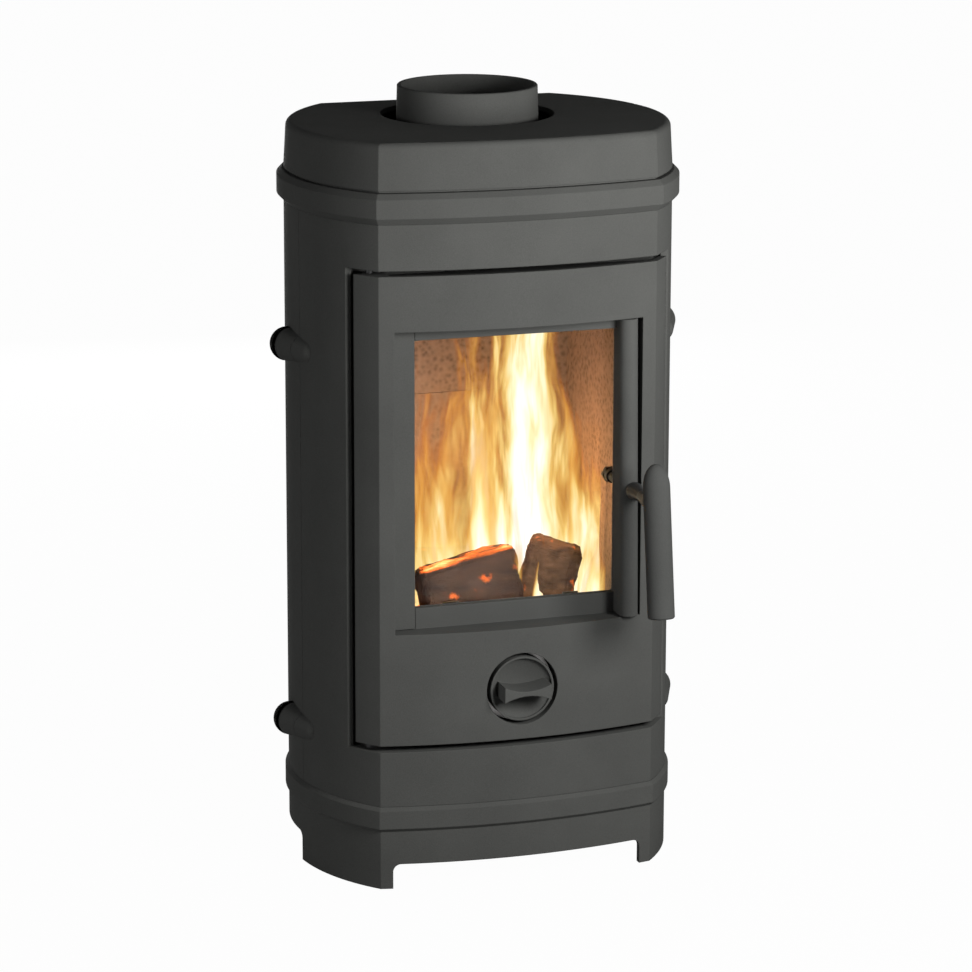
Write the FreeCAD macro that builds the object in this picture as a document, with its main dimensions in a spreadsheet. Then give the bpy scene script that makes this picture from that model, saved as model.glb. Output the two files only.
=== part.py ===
import FreeCAD, Part
import Sketcher
import math
import os
import re

# A cast iron wood stove: round-sided castings, a bowed front with a glazed door, and a top flue collar.
# Lengths are in millimetres. X points right, Y points to the rear, Z points up from the floor.
# Each piece is drawn about the upright axis of the round body, then moved back by axis_y.

SIZES = {
    # Plan of the body: a circle, cut by a bowed front and a flat rear
    "body_radius": 220.0,
    "crease_share": 0.67727,
    "rear_share": 0.76364,
    "seam_share": 0.12727,
    "front_bow": 19.0,
    "wall": 8.0,
    "seam_gap": 0.5,
    # Base
    "front_arch": 29.0,
    "side_arch": 34.0,
    "arch_round": 9.0,
    "foot_width": 13.86,
    "front_foot": 126.0,
    "rear_foot": 53.0,
    "base_top": 97.0,
    "rib_bottom": 68.0,
    "rib_proud": 4.0,
    "rib_ease": 4.0,
    "base_floor": 10.0,
    # Shells, rim and cap
    "shell_height": 665.0,
    "rim_under": 8.0,
    "rim_face": 21.0,
    "rim_over": 6.0,
    "rim_proud": 8.0,
    "rim_ledge": 2.0,
    "rim_lip": 3.0,
    "top_plate": 12.0,
    "cap_height": 54.0,
    "cap_draft": 3.0,
    "cap_round": 7.0,
    "cap_roof": 6.0,
    "cap_gap": 16.5,
    "cap_groove": 2.5,
    "cap_groove_in": 4.0,
    # Flue collar
    "flue_set": 128.0,
    "flue_bore": 75.5,
    "collar_rise": 33.0,
    "collar_wall": 4.5,
    "collar_taper": 2.5,
    "flange_reach": 13.5,
    "flange_thick": 8.0,
    # Lugs on the sides, and the ears and tie bolts inside
    "lug_radius": 19.5,
    "lug_set": 3.4,
    "lug_y": 8.0,
    "lug_tail": 14.0,
    "lug_tail_set": 12.0,
    "lug_tail_ahead": 50.0,
    "lug_low_set": 65.5,
    "lug_high_set": 158.5,
    "tie_low_set": 38.0,
    "tie_high_set": 156.0,
    "tie_set": 17.0,
    "tie_radius": 4.0,
    "tie_head": 6.5,
    "ear_half": 9.0,
    "ear_half_height": 11.0,
    "ear_thick": 14.0,
    "ear_root": 6.5,
    # Door opening and door
    "sill_set": 64.2,
    "lintel_set": 51.0,
    "shelf": 8.0,
    "seat_set": 49.0,
    "seat_thick": 8.0,
    "edge_set": 12.3,
    "mouth_gap": 2.0,
    "mouth_sill": 24.8,
    "mouth_head": 25.0,
    "door_gap": 7.4,
    "door_head_gap": 6.2,
    "door_set": 22.3,
    "rim_rib": 10.0,
    "rib_set": 3.861,
    "rim_rib_inset": 6.0,
    "seal_depth": 10.0,
    "gasket_width": 8.0,
    "gasket_gap": 0.4,
    # Window in the door
    "well_gap": 3.0,
    "well_sill": 129.4,
    "well_head": 62.3,
    "well_set": 34.0,
    "window_side": 28.0,
    "window_latch_side": 24.5,
    "window_sill": 24.0,
    "window_head": 14.5,
    "bar_thick": 2.5,
    "bar_gap": 1.0,
    "bar_groove": 1.2,
    "glass_thick": 4.0,
    "glass_lap": 6.0,
    "seal_thick": 3.0,
    "clip_share": 0.6,
    "clip_half": 9.0,
    "clip_thick": 2.5,
    "clip_foot": 12.0,
    "clip_gap": 0.5,
    "screw_radius": 2.5,
    "screw_head": 4.5,
    "screw_head_high": 3.0,
    "screw_bite": 6.0,
    # Hinge
    "hinge_set": 6.0,
    "hinge_back": 21.0,
    "hinge_pin": 4.0,
    "knuckle": 8.0,
    "knuckle_high": 30.0,
    "knuckle_end": 3.0,
    "hinge_boss": 9.0,
    "hinge_boss_high": 10.0,
    "hinge_relief": 20.5,
    "pin_head": 7.0,
    "pin_head_high": 3.0,
    # Handle and latch
    "column_set": 14.5,
    "column_radius": 10.75,
    "column_proud": 16.0,
    "column_lean": 1.7,
    "column_end_gap": 1.5,
    "column_screw_share": 0.35,
    "column_screw_set": 2.0,
    "spindle_set": 3.0,
    "spindle_rise": 124.0,
    "spindle_radius": 6.0,
    "neck_radius": 10.0,
    "neck_waist": 7.0,
    "neck_land": 4.0,
    "neck_reach": 6.0,
    "handle_set": 75.3,
    "handle_radius": 15.25,
    "handle_below": 126.0,
    "handle_straight": 20.0,
    "handle_dome": 27.0,
    "handle_ease": 1.5,
    "handle_tilt": 8.0,
    "tongue_lap": 26.0,
    "tongue_half": 7.0,
    "tongue_thick": 8.0,
    "cam_hub": 8.0,
    "keeper_thick": 2.5,
    "keeper_set": 4.0,
    "keeper_wide": 24.0,
    "keeper_above": 10.0,
    "keeper_below": 36.0,
    "keeper_edge": 7.0,
    "nut_wall": 3.5,
    "nut_high": 6.0,
    "thread_end": 2.0,
    # Air control in the door
    "air_set": 58.7,
    "knob_radius": 37.5,
    "knob_gap": 4.5,
    "knob_thick": 17.0,
    "knob_proud": 18.0,
    "dish_rim": 2.5,
    "dish_step": 3.0,
    "dish_depth": 10.0,
    "knob_bar_half": 27.5,
    "knob_bar_middle": 2.7,
    "knob_bar_end": 9.2,
    "knob_bar_proud": 22.0,
    "knob_spindle": 5.0,
    "knob_hub": 9.0,
    "air_boss_wall": 12.0,
    "air_seat_set": 4.0,
    "air_seat_thick": 4.0,
    "air_rotor_gap": 2.0,
    "air_rotor_thick": 3.0,
    "air_port": 9.0,
    "air_port_share": 0.7,
    # Fire chamber
    "ash_floor_thick": 8.0,
    "ash_floor_gap": 9.0,
    "ledge_thick": 10.0,
    "ledge_reach": 20.0,
    "pan_space": 24.0,
    "hearth_thick": 12.0,
    "grate_set": 17.0,
    "grate_thick": 8.0,
    "grate_lip": 6.0,
    "grate_slot": 8.0,
    "grate_pitch": 18.0,
    "grate_border": 10.0,
    "liner_set": 0.0,
    "liner_thick": 18.0,
    "liner_ahead": 34.0,
    "liner_behind": 58.0,
    "baffle_drop": 112.0,
    "rear_liner_high": 247.0,
    "liner_joint": 0.6,
    "baffle_thick": 18.0,
    "baffle_set": 36.0,
    "guard_set": 2.0,
    "guard_thick": 7.0,
    "guard_high": 38.0,
    "pan_side": 34.0,
    "pan_ahead": 16.0,
    "pan_behind": 52.0,
    "pan_high": 54.0,
    "pan_sheet": 2.0,
    "pan_bar_half": 35.0,
    "pan_bar_radius": 4.0,
    "pan_bar_out": 16.0,
    "pan_bar_drop": 18.0,
    # Fits
    "seat_gap": 0.2,
    "run_gap": 0.3,
    "pin_fit": 0.06,
    "hole_fit": 0.1,
    "past": 2.0,
    "lap": 1.0,
}


def work_out(size):
    """Places that follow from the driving sizes."""
    at = {}
    # Plan
    at["crease_depth"] = size["body_radius"] * size["crease_share"]
    at["rear_depth"] = size["body_radius"] * size["rear_share"]
    at["crease_half"] = math.sqrt(size["body_radius"] ** 2 - at["crease_depth"] ** 2)
    at["bow_radius"] = (at["crease_half"] ** 2 + size["front_bow"] ** 2) / (2 * size["front_bow"])
    at["bow_y"] = at["bow_radius"] - at["crease_depth"] - size["front_bow"]
    at["seam_y"] = -size["body_radius"] * size["seam_share"]
    at["far"] = size["body_radius"] * 2
    # Base and feet
    at["arch_half"] = at["crease_half"] - size["foot_width"]
    at["side_arch_front"] = size["front_foot"] - at["crease_depth"]
    at["side_arch_rear"] = at["rear_depth"] - size["rear_foot"]
    # Stacked heights
    at["rim_bottom"] = size["base_top"] + size["shell_height"]
    at["plate_bottom"] = at["rim_bottom"] + size["rim_under"]
    at["rim_top"] = at["plate_bottom"] + size["rim_face"] + size["rim_over"]
    at["collar_height"] = at["rim_top"] + size["cap_height"] + size["collar_rise"]
    # Flue
    at["flue_y"] = at["rear_depth"] - size["flue_set"]
    at["collar_top_radius"] = size["flue_bore"] + size["collar_wall"]
    at["collar_base_radius"] = at["collar_top_radius"] + size["collar_taper"]
    at["collar_flange"] = at["collar_base_radius"] + size["flange_reach"]
    at["collar_bolt_circle"] = (at["collar_base_radius"] + at["collar_flange"]) / 2
    at["cap_hole"] = at["collar_base_radius"] + size["cap_gap"]
    # Lugs
    at["lug_x"] = size["body_radius"] + size["lug_set"]
    at["lug_tail_x"] = size["body_radius"] - size["lug_tail_set"]
    at["lug_reach"] = math.hypot(at["lug_x"] - at["lug_tail_x"], size["lug_tail_ahead"])
    at["lug_low_z"] = size["base_top"] + size["lug_low_set"]
    at["lug_high_z"] = at["rim_bottom"] - size["lug_high_set"]
    at["tie_x"] = size["body_radius"] - size["tie_set"]
    at["tie_low_z"] = size["base_top"] + size["tie_low_set"]
    at["tie_high_z"] = at["rim_bottom"] - size["tie_high_set"]
    # Door opening
    at["sill"] = size["base_top"] + size["sill_set"]
    at["lintel"] = at["rim_bottom"] - size["lintel_set"]
    at["seat_front"] = size["seat_set"] - at["crease_depth"]
    at["opening_edge"] = at["seat_front"] - size["edge_set"]
    at["rim_rib_half"] = at["crease_half"] - size["rib_set"]
    at["mouth_half"] = at["rim_rib_half"] - size["rim_rib"] - size["mouth_gap"]
    at["mouth_bottom"] = at["sill"] + size["mouth_sill"]
    at["mouth_top"] = at["lintel"] - size["mouth_head"]
    # Door
    at["door_bottom"] = at["sill"] + size["door_gap"]
    at["door_top"] = at["lintel"] - size["door_head_gap"]
    at["door_edge"] = at["seat_front"] - size["door_set"]
    at["rim_rib_rear"] = at["seat_front"] - size["seal_depth"]
    at["well_half"] = at["rim_rib_half"] - size["rim_rib"] - size["well_gap"]
    at["well_bottom"] = at["door_bottom"] + size["well_sill"]
    at["well_top"] = at["door_top"] - size["well_head"]
    at["well_floor"] = at["seat_front"] - size["well_set"]
    at["window_half"] = at["well_half"] - (size["window_side"] + size["window_latch_side"]) / 2
    at["window_x"] = (size["window_side"] - size["window_latch_side"]) / 2
    at["window_bottom"] = at["well_bottom"] + size["window_sill"]
    at["window_top"] = at["well_top"] - size["window_head"]
    at["glass_front"] = at["well_floor"] + size["wall"] + size["seal_thick"]
    at["clip_x"] = at["window_half"] * size["clip_share"]
    at["hinge_x"] = -at["rim_rib_half"] - size["hinge_set"]
    at["hinge_y"] = at["seat_front"] - size["hinge_back"]
    at["sill_pin_high"] = size["door_gap"] - size["run_gap"]
    # Handle and latch
    at["column_x"] = at["well_half"] - size["column_set"]
    at["column_low"] = at["well_bottom"] + size["column_end_gap"]
    at["column_high"] = at["well_top"] - size["column_end_gap"]
    at["column_foot"] = size["column_radius"] - at["crease_depth"] - size["column_proud"]
    at["column_screw_pitch"] = (at["well_top"] - at["well_bottom"]) * 2 * size["column_screw_share"]
    at["spindle_x"] = at["column_x"] + size["spindle_set"]
    at["spindle_z"] = at["window_bottom"] + size["spindle_rise"]
    lean = math.tan(math.radians(size["column_lean"]))
    at["column_front"] = (at["column_foot"] - size["column_radius"]
                          + lean * (at["spindle_z"] - at["column_low"]))
    at["neck_end"] = at["column_front"] - lean * size["neck_radius"] - size["run_gap"]
    at["handle_y"] = at["column_front"] - size["handle_set"]
    at["keeper_x"] = at["mouth_half"] + size["keeper_set"]
    at["tongue_reach"] = at["mouth_half"] + size["tongue_lap"] - at["spindle_x"]
    at["tongue_front"] = at["seat_front"] + size["seat_thick"] + size["keeper_thick"] + size["run_gap"]
    # Air control
    at["air_z"] = at["door_bottom"] + size["air_set"]
    at["air_hole"] = size["knob_radius"] + size["knob_gap"]
    at["air_boss"] = at["air_hole"] + size["air_boss_wall"]
    at["air_seat_front"] = size["air_seat_set"] - at["crease_depth"]
    at["air_rotor_radius"] = at["air_hole"] - size["air_rotor_gap"]
    at["air_port_circle"] = at["air_rotor_radius"] * size["air_port_share"]
    at["air_screw_circle"] = at["air_hole"] + size["air_boss_wall"] / 2
    at["knob_front"] = -at["crease_depth"] - size["knob_proud"]
    at["dish_radius"] = size["knob_radius"] - size["dish_rim"]
    at["dish_sphere"] = (at["dish_radius"] ** 2 + size["dish_depth"] ** 2) / (2 * size["dish_depth"])
    bar_sag = size["knob_bar_end"] - size["knob_bar_middle"]
    at["bar_scoop"] = (size["knob_bar_half"] ** 2 + bar_sag ** 2) / (2 * bar_sag)
    # Fire chamber
    at["ash_floor_top"] = at["mouth_bottom"]
    at["hearth_top"] = at["ash_floor_top"] + size["pan_high"] + size["pan_space"]
    at["liner_inner"] = at["mouth_half"] - size["liner_set"]
    at["liner_front"] = at["seat_front"] + size["liner_ahead"]
    at["liner_rear"] = at["rear_depth"] - size["liner_behind"]
    at["liner_top"] = at["rim_bottom"] - size["baffle_drop"]
    at["rear_liner_top"] = at["hearth_top"] + size["rear_liner_high"]
    at["baffle_front"] = at["liner_front"] + size["baffle_set"]
    at["guard_y"] = at["liner_front"] + size["guard_set"]
    at["grate_y"] = (at["liner_front"] + at["liner_rear"]) / 2
    at["grate_half"] = (at["liner_rear"] - at["liner_front"]) / 2 - size["grate_set"]
    at["pan_half"] = at["liner_inner"] - size["pan_side"]
    at["pan_front"] = at["seat_front"] + size["pan_ahead"]
    at["pan_rear"] = at["rear_depth"] - size["pan_behind"]
    at["pan_bar_z"] = size["pan_high"] - size["pan_bar_drop"]
    # The middle of the depth, from the handle's lower end to the rim at the rear
    tilt = math.radians(size["handle_tilt"])
    handle_front = (size["handle_below"] * math.sin(tilt) + size["handle_radius"] * math.cos(tilt)
                    - at["handle_y"] - size["handle_ease"] * math.sin(tilt))
    at["axis_y"] = (handle_front - at["rear_depth"] - size["rim_proud"]) / 2
    return at


DERIVED = work_out(SIZES)

doc = FreeCAD.newDocument("stove")
sheet = doc.addObject("Spreadsheet::Sheet", "sizes")
for row, (word, number) in enumerate(list(SIZES.items()) + list(DERIVED.items()), start=1):
    sheet.set("A%d" % row, word)
    sheet.set("B%d" % row, repr(number))
    sheet.setAlias("B%d" % row, word)
doc.recompute()

KNOWN = set(SIZES) | set(DERIVED)
NODES = []


def cell(formula):
    """A formula in size names, as an expression on the sheet's cells."""
    def named(hit):
        word = hit.group()
        return "sizes." + word if word in KNOWN else word

    return re.sub(r"[a-z][a-z_]*", named, str(formula))


def value(word):
    """A size as a number, for the places that take no expression."""
    return float(sheet.get(word))


def bind(thing, **formulas):
    """Bind properties of an object to formulas in size names."""
    for name, formula in formulas.items():
        thing.setExpression(name, cell(formula))
    return thing


def place(thing, x="0", y="0", z="0"):
    """Bind where an object stands."""
    for axis, formula in zip("xyz", (x, y, z)):
        thing.setExpression("Placement.Base." + axis, cell(formula))
    return thing


def box(name, x, y, z):
    """A block from its low and high formulas along each axis."""
    block = doc.addObject("Part::Box", name)
    bind(block, Length="(%s) - (%s)" % (x[1], x[0]), Width="(%s) - (%s)" % (y[1], y[0]),
         Height="(%s) - (%s)" % (z[1], z[0]))
    return place(block, x[0], y[0], z[0])


TURN = {"z": FreeCAD.Rotation(), "y": FreeCAD.Rotation(FreeCAD.Vector(1, 0, 0), -90),
        "x": FreeCAD.Rotation(FreeCAD.Vector(0, 1, 0), 90)}


def rod(name, along, centre, radius, span):
    """A cylinder along an axis: centre gives the other two places, span the low and high ends."""
    cylinder = doc.addObject("Part::Cylinder", name)
    cylinder.Placement.Rotation = TURN[along]
    bind(cylinder, Radius=radius, Height="(%s) - (%s)" % (span[1], span[0]))
    spots = dict(zip([axis for axis in "xyz" if axis != along], centre))
    spots[along] = span[0]
    return place(cylinder, spots["x"], spots["y"], spots["z"])


def hexagon(name, along, centre, radius, span):
    """A six-sided bar, for bolt heads and nuts."""
    prism = doc.addObject("Part::Prism", name)
    prism.Polygon = 6
    prism.Placement.Rotation = TURN[along]
    bind(prism, Circumradius=radius, Height="(%s) - (%s)" % (span[1], span[0]))
    spots = dict(zip([axis for axis in "xyz" if axis != along], centre))
    spots[along] = span[0]
    return place(prism, spots["x"], spots["y"], spots["z"])


def fuse(name, *shapes):
    joined = doc.addObject("Part::MultiFuse", name)
    joined.Shapes = list(shapes)
    joined.Refine = True
    return joined


def common(name, *shapes):
    shared = doc.addObject("Part::MultiCommon", name)
    shared.Shapes = list(shapes)
    return shared


def cut(name, base, *tools):
    less = doc.addObject("Part::Cut", name)
    less.Base = base
    less.Tool = tools[0] if len(tools) == 1 else fuse(name + "_tools", *tools)
    less.Refine = True
    return less


def group(name, *shapes):
    """Separate solids that share one node."""
    set_of = doc.addObject("Part::Compound", name)
    set_of.Links = list(shapes)
    return set_of


def piece(label, thing):
    """A finished sub-part: it takes its name and its place in the stove."""
    thing.Label = label
    stands = [formula for path, formula in thing.ExpressionEngine if path.endswith("Placement.Base.y")]
    thing.setExpression("Placement.Base.y", " + ".join(stands + [cell("axis_y")]))
    NODES.append(thing)
    return thing


def round_edges(name, base, radius, wanted):
    """Round the edges of a shape whose middle point passes the test."""
    doc.recompute()
    rounded = doc.addObject("Part::Fillet", name)
    rounded.Base = base
    rounded.Edges = [(index, radius, radius) for index, edge in enumerate(base.Shape.Edges, start=1)
                     if wanted(edge, edge.valueAt((edge.FirstParameter + edge.LastParameter) / 2))]
    return rounded


def plan_block(name, low, high, grow="0", grow_high=None):
    """The plan of the body, grown by an offset, between two heights. It can taper to a second offset."""
    rise = "(%s) - (%s)" % (high, low)
    if grow_high is None:
        side = doc.addObject("Part::Cylinder", name + "_side")
        bind(side, Radius="body_radius + (%s)" % grow, Height=rise)
        front = doc.addObject("Part::Cylinder", name + "_front")
        bind(front, Radius="bow_radius + (%s)" % grow, Height=rise)
        rear = box(name + "_rear", ("-far", "far"), ("-far", "rear_depth + (%s)" % grow), (low, high))
    else:
        side = doc.addObject("Part::Cone", name + "_side")
        bind(side, Radius1="body_radius + (%s)" % grow, Radius2="body_radius + (%s)" % grow_high,
             Height=rise)
        front = doc.addObject("Part::Cone", name + "_front")
        bind(front, Radius1="bow_radius + (%s)" % grow, Radius2="bow_radius + (%s)" % grow_high,
             Height=rise)
        rear = doc.addObject("Part::Wedge", name + "_rear")
        rear.Placement.Rotation = FreeCAD.Rotation(FreeCAD.Vector(1, 0, 0), 90)
        bind(rear, Xmin="-far", Xmax="far", X2min="-far", X2max="far", Ymin="0", Ymax=rise,
             Zmin="-(rear_depth + (%s))" % grow, Z2min="-(rear_depth + (%s))" % grow_high,
             Zmax="far", Z2max="far")
        place(rear, z=low)
    place(side, z=low)
    place(front, y="bow_y", z=low)
    return common(name, side, front, rear)


def polygon_sketch(body, name, plane, points):
    """A closed outline of straight runs, each corner bound to formulas for its two places."""
    sketch = body.newObject("Sketcher::SketchObject", name)
    origin_plane = [item for item in body.Origin.OriginFeatures if item.Role == plane][0]
    sketch.AttachmentSupport = [(origin_plane, "")]
    sketch.MapMode = "FlatFace"
    spots = [FreeCAD.Vector(number(x), number(y), 0) for x, y in points]
    for index, spot in enumerate(spots):
        sketch.addGeometry(Part.LineSegment(spot, spots[(index + 1) % len(spots)]), False)
    for index in range(len(spots)):
        sketch.addConstraint(Sketcher.Constraint("Coincident", index, 2, (index + 1) % len(spots), 1))
    for index, (x, y) in enumerate(points):
        for kind, formula, now in (("DistanceX", x, spots[index].x), ("DistanceY", y, spots[index].y)):
            made = sketch.addConstraint(Sketcher.Constraint(kind, -1, 1, index, 1, now))
            sketch.setExpression("Constraints[%d]" % made, cell(formula))
    return sketch


def number(formula):
    """A formula in size names, as a number."""
    probe = bind(doc.addObject("App::FeaturePython", "probe"))
    probe.addProperty("App::PropertyFloat", "Result")
    probe.setExpression("Result", cell(formula))
    doc.recompute([probe])
    result = probe.Result
    doc.removeObject(probe.Name)
    return result


def turned(label, plane, axis, points, x="0", y="0", z="0"):
    """A body of revolution from a straight-sided outline."""
    body = doc.addObject("PartDesign::Body", label)
    sketch = polygon_sketch(body, label + "_outline", plane, points)
    spin = body.newObject("PartDesign::Revolution", label + "_turned")
    spin.Profile = sketch
    spin.ReferenceAxis = (sketch, [axis])
    spin.Angle = 360.0
    place(body, x, y, z)
    return body


def screw(name, along, centre, radius, shank, head, head_radius):
    """A screw: a round shank and a six-sided head, each given by its span along the axis."""
    return fuse(name, rod(name + "_shank", along, centre, radius, shank),
                hexagon(name + "_head", along, centre, head_radius, head))


# Base casting with its four feet, lower rib and floor
def make_base():
    skirt = plan_block("skirt", "0", "base_top")
    rib_low = plan_block("rib_low", "rib_bottom", "rib_bottom + rib_ease", "0", "rib_proud")
    rib_face = plan_block("rib_face", "rib_bottom + rib_ease", "base_top - rib_ease", "rib_proud")
    rib_high = plan_block("rib_high", "base_top - rib_ease", "base_top", "rib_proud", "0")
    solid = fuse("base_solid", skirt, rib_low, rib_face, rib_high)
    hollow = plan_block("base_hollow", "-past", "base_top - base_floor", "-wall")
    front = box("front_arch_box", ("-arch_half", "arch_half"), ("-far", "far"), ("-past", "front_arch"))
    side = box("side_arch_box", ("-far", "far"), ("side_arch_front", "side_arch_rear"),
               ("-past", "side_arch"))
    soft = value("arch_round")
    front_top = value("front_arch")
    side_top = value("side_arch")
    front = round_edges("front_arch_cut", front, soft,
                        lambda edge, at: abs(at.z - front_top) < 0.01 and abs(at.y) < 1)
    side = round_edges("side_arch_cut", side, soft,
                       lambda edge, at: abs(at.z - side_top) < 0.01 and abs(at.x) < 1)
    piece("base_casting", cut("base_less", solid, hollow, front, side))


def ball(name, x, y, z, radius):
    sphere = doc.addObject("Part::Sphere", name)
    bind(sphere, Radius=radius)
    return place(sphere, x, y, z)


# A side lug: a round knob that stands out of the shell, with a tail that runs forward into the wall
def lug(name, side, z):
    head = ball(name + "_head", "%s * lug_x" % side, "lug_y", z, "lug_radius")
    tail = ball(name + "_tail", "%s * lug_tail_x" % side, "lug_y - lug_tail_ahead", z, "lug_tail")
    neck = doc.addObject("Part::Cone", name + "_neck")
    bind(neck, Radius1="lug_radius", Radius2="lug_tail", Height="lug_reach")
    run_in = float(side) * (value("lug_tail_x") - value("lug_x"))
    inward = FreeCAD.Vector(run_in, -value("lug_tail_ahead"), 0)
    neck.Placement.Rotation = FreeCAD.Rotation(FreeCAD.Vector(0, 0, 1), inward)
    place(neck, "%s * lug_x" % side, "lug_y", z)
    core = rod(name + "_core", "z", ("0", "0"), "body_radius - wall / 2",
               ("(%s) - far" % z, "(%s) + far" % z))
    return cut(name, fuse(name + "_solid", head, tail, neck), core)


def ear(name, side, z):
    """A block inside the wall, across the seam, that takes a tie bolt."""
    reach = ["%s * (tie_x - ear_half)" % side, "%s * (body_radius - ear_root)" % side]
    if side == "-1":
        reach.reverse()
    return box(name, reach, ("seam_y - ear_thick", "seam_y + ear_thick"),
               ("%s - ear_half_height" % z, "%s + ear_half_height" % z))


LUGS = [(side, z) for side in ("-1", "1") for z in ("lug_low_z", "lug_high_z")]
TIES = [(side, z) for side in ("-1", "1") for z in ("tie_low_z", "tie_high_z")]


def tie_holes(name):
    return [rod("%s_tie_hole_%d" % (name, index), "y", ("%s * tie_x" % side, z), "tie_radius + hole_fit",
                ("seam_y - ear_thick - past", "seam_y + ear_thick + past"))
            for index, (side, z) in enumerate(TIES)]


def ring(name, low, high):
    """A ledge round the inside of the shell that carries a floor plate."""
    outer = plan_block(name + "_outer", low, high, "lap - wall")
    inner = plan_block(name + "_inner", "(%s) - past" % low, "(%s) + past" % high, "-wall - ledge_reach")
    return cut(name, outer, inner)


def shell(name):
    """The full round wall, with its lugs and inner ledges, before it is split at the seam."""
    outer = plan_block(name + "_outer", "base_top", "rim_bottom")
    inner = plan_block(name + "_inner", "base_top - past", "rim_bottom + past", "-wall")
    wall = cut(name + "_wall", outer, inner)
    bosses = [lug("%s_lug_%d" % (name, index), side, z) for index, (side, z) in enumerate(LUGS)]
    ears = [ear("%s_ear_%d" % (name, index), side, z) for index, (side, z) in enumerate(TIES)]
    ash_ledge = ring(name + "_ash_ledge", "ash_floor_top - ash_floor_thick - ledge_thick",
                     "ash_floor_top - ash_floor_thick")
    hearth_ledge = ring(name + "_hearth_ledge", "hearth_top - hearth_thick - ledge_thick",
                        "hearth_top - hearth_thick")
    return fuse(name + "_whole", wall, ash_ledge, hearth_ledge, *(bosses + ears))


def make_rear_shell():
    whole = shell("rear")
    behind = box("rear_side", ("-far", "far"), ("seam_y + seam_gap", "far"), ("0", "collar_height"))
    half = common("rear_half", whole, behind)
    piece("rear_shell", cut("rear_less", half, *tie_holes("rear")))


def make_front_shell():
    whole = shell("front")
    ahead = box("front_side", ("-far", "far"), ("-far", "seam_y"), ("0", "collar_height"))
    opening = box("door_opening", ("-far", "far"), ("-far", "opening_edge"), ("sill", "lintel"))
    ledge_clear = box("ledge_clear", ("-far", "far"), ("-far", "seat_front"), ("sill", "lintel"))
    half = cut("front_half_cut", common("front_half", whole, ahead), opening, ledge_clear)
    walls = cut("front_walls", common("front_walls_all", shell_wall("front_wall_only"), ahead), opening)
    seat_box = box("seat_box", ("-far", "far"), ("seat_front", "seat_front + seat_thick"),
                   ("base_top", "rim_bottom"))
    seat = common("seat", seat_box, plan_block("seat_plan", "base_top", "rim_bottom", "lap - wall"))
    shelves = []
    for name, low, high in (("lintel_shelf", "lintel", "lintel + shelf"),
                            ("sill_shelf", "sill - shelf", "sill")):
        shelf_box = box(name + "_box", ("-far", "far"), ("-far", "seat_front + lap"), (low, high))
        shelves.append(common(name, shelf_box, plan_block(name + "_plan", low, high, "-1")))
    hinge = ("hinge_x", "hinge_y")
    bosses = [rod("lintel_boss", "z", hinge, "hinge_boss",
                  ("lintel + shelf / 2", "lintel + shelf + hinge_boss_high")),
              rod("sill_boss", "z", hinge, "hinge_boss",
                  ("sill - shelf - hinge_boss_high", "sill - shelf / 2"))]
    solid = fuse("front_solid", half, walls, seat, *(shelves + bosses))
    mouth = box("mouth", ("-mouth_half", "mouth_half"),
                ("seat_front - past", "seat_front + seat_thick + past"), ("mouth_bottom", "mouth_top"))
    relief = rod("hinge_relief_cut", "z", hinge, "hinge_relief", ("sill", "lintel"))
    bores = [rod("lintel_bore", "z", hinge, "hinge_pin + hole_fit",
                 ("lintel - past", "lintel + shelf + hinge_boss_high + past")),
             rod("sill_bore", "z", hinge, "hinge_pin + hole_fit",
                 ("sill - shelf - hinge_boss_high - past", "sill + past"))]
    keeper_holes = [rod("keeper_hole_%d" % index, "y", centre, "screw_radius + hole_fit",
                        ("seat_front - past", "seat_front + seat_thick + past"))
                    for index, centre in enumerate(KEEPER_SCREWS)]
    holes = bores + tie_holes("front") + keeper_holes
    piece("front_shell", cut("front_less", solid, mouth, relief, *holes))


def shell_wall(name):
    """The plain round wall of the shell."""
    outer = plan_block(name + "_outer", "base_top", "rim_bottom")
    inner = plan_block(name + "_inner", "base_top - past", "rim_bottom + past", "-wall")
    return cut(name, outer, inner)


KEEPER_SCREWS = [("keeper_x + keeper_edge", "spindle_z - keeper_below + keeper_edge"),
                 ("keeper_x + keeper_wide - keeper_edge", "spindle_z - keeper_below + keeper_edge")]


# Four bolts inside that pull the two shells together
def make_tie_bolts():
    seat = "seam_y + ear_thick"
    bolts = [screw("tie_bolt_%d" % index, "y", ("%s * tie_x" % side, z), "tie_radius",
                   ("seam_y - ear_thick", seat + " + lap"), (seat, seat + " + nut_high"), "tie_head")
             for index, (side, z) in enumerate(TIES)]
    piece("tie_bolts", group("tie_bolt_set", *bolts))


# Top plate with its raised rim
def make_top_plate():
    under = plan_block("rim_under_block", "rim_bottom", "plate_bottom", "0", "rim_proud")
    face = plan_block("rim_face_block", "plate_bottom", "plate_bottom + rim_face", "rim_proud")
    over = plan_block("rim_over_block", "plate_bottom + rim_face", "rim_top", "rim_proud", "rim_ledge")
    solid = fuse("rim_solid", under, face, over)
    below = plan_block("rim_below", "rim_bottom - past", "plate_bottom", "-wall")
    above = plan_block("rim_above", "plate_bottom + top_plate", "rim_top + past", "-wall - rim_lip")
    flue = rod("plate_flue", "z", ("0", "flue_y"), "flue_bore + past", ("rim_bottom", "rim_top + past"))
    holes = [rod("plate_hole_%d" % index, "z", centre, "tie_radius + hole_fit",
                 ("rim_bottom", "rim_top + past")) for index, centre in enumerate(COLLAR_BOLTS)]
    piece("top_plate", cut("top_plate_less", solid, below, above, flue, *holes))


COLLAR_BOLTS = [("collar_bolt_circle * cos(%d deg)" % angle,
                 "flue_y + collar_bolt_circle * sin(%d deg)" % angle) for angle in (45, 135, 225, 315)]


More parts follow.
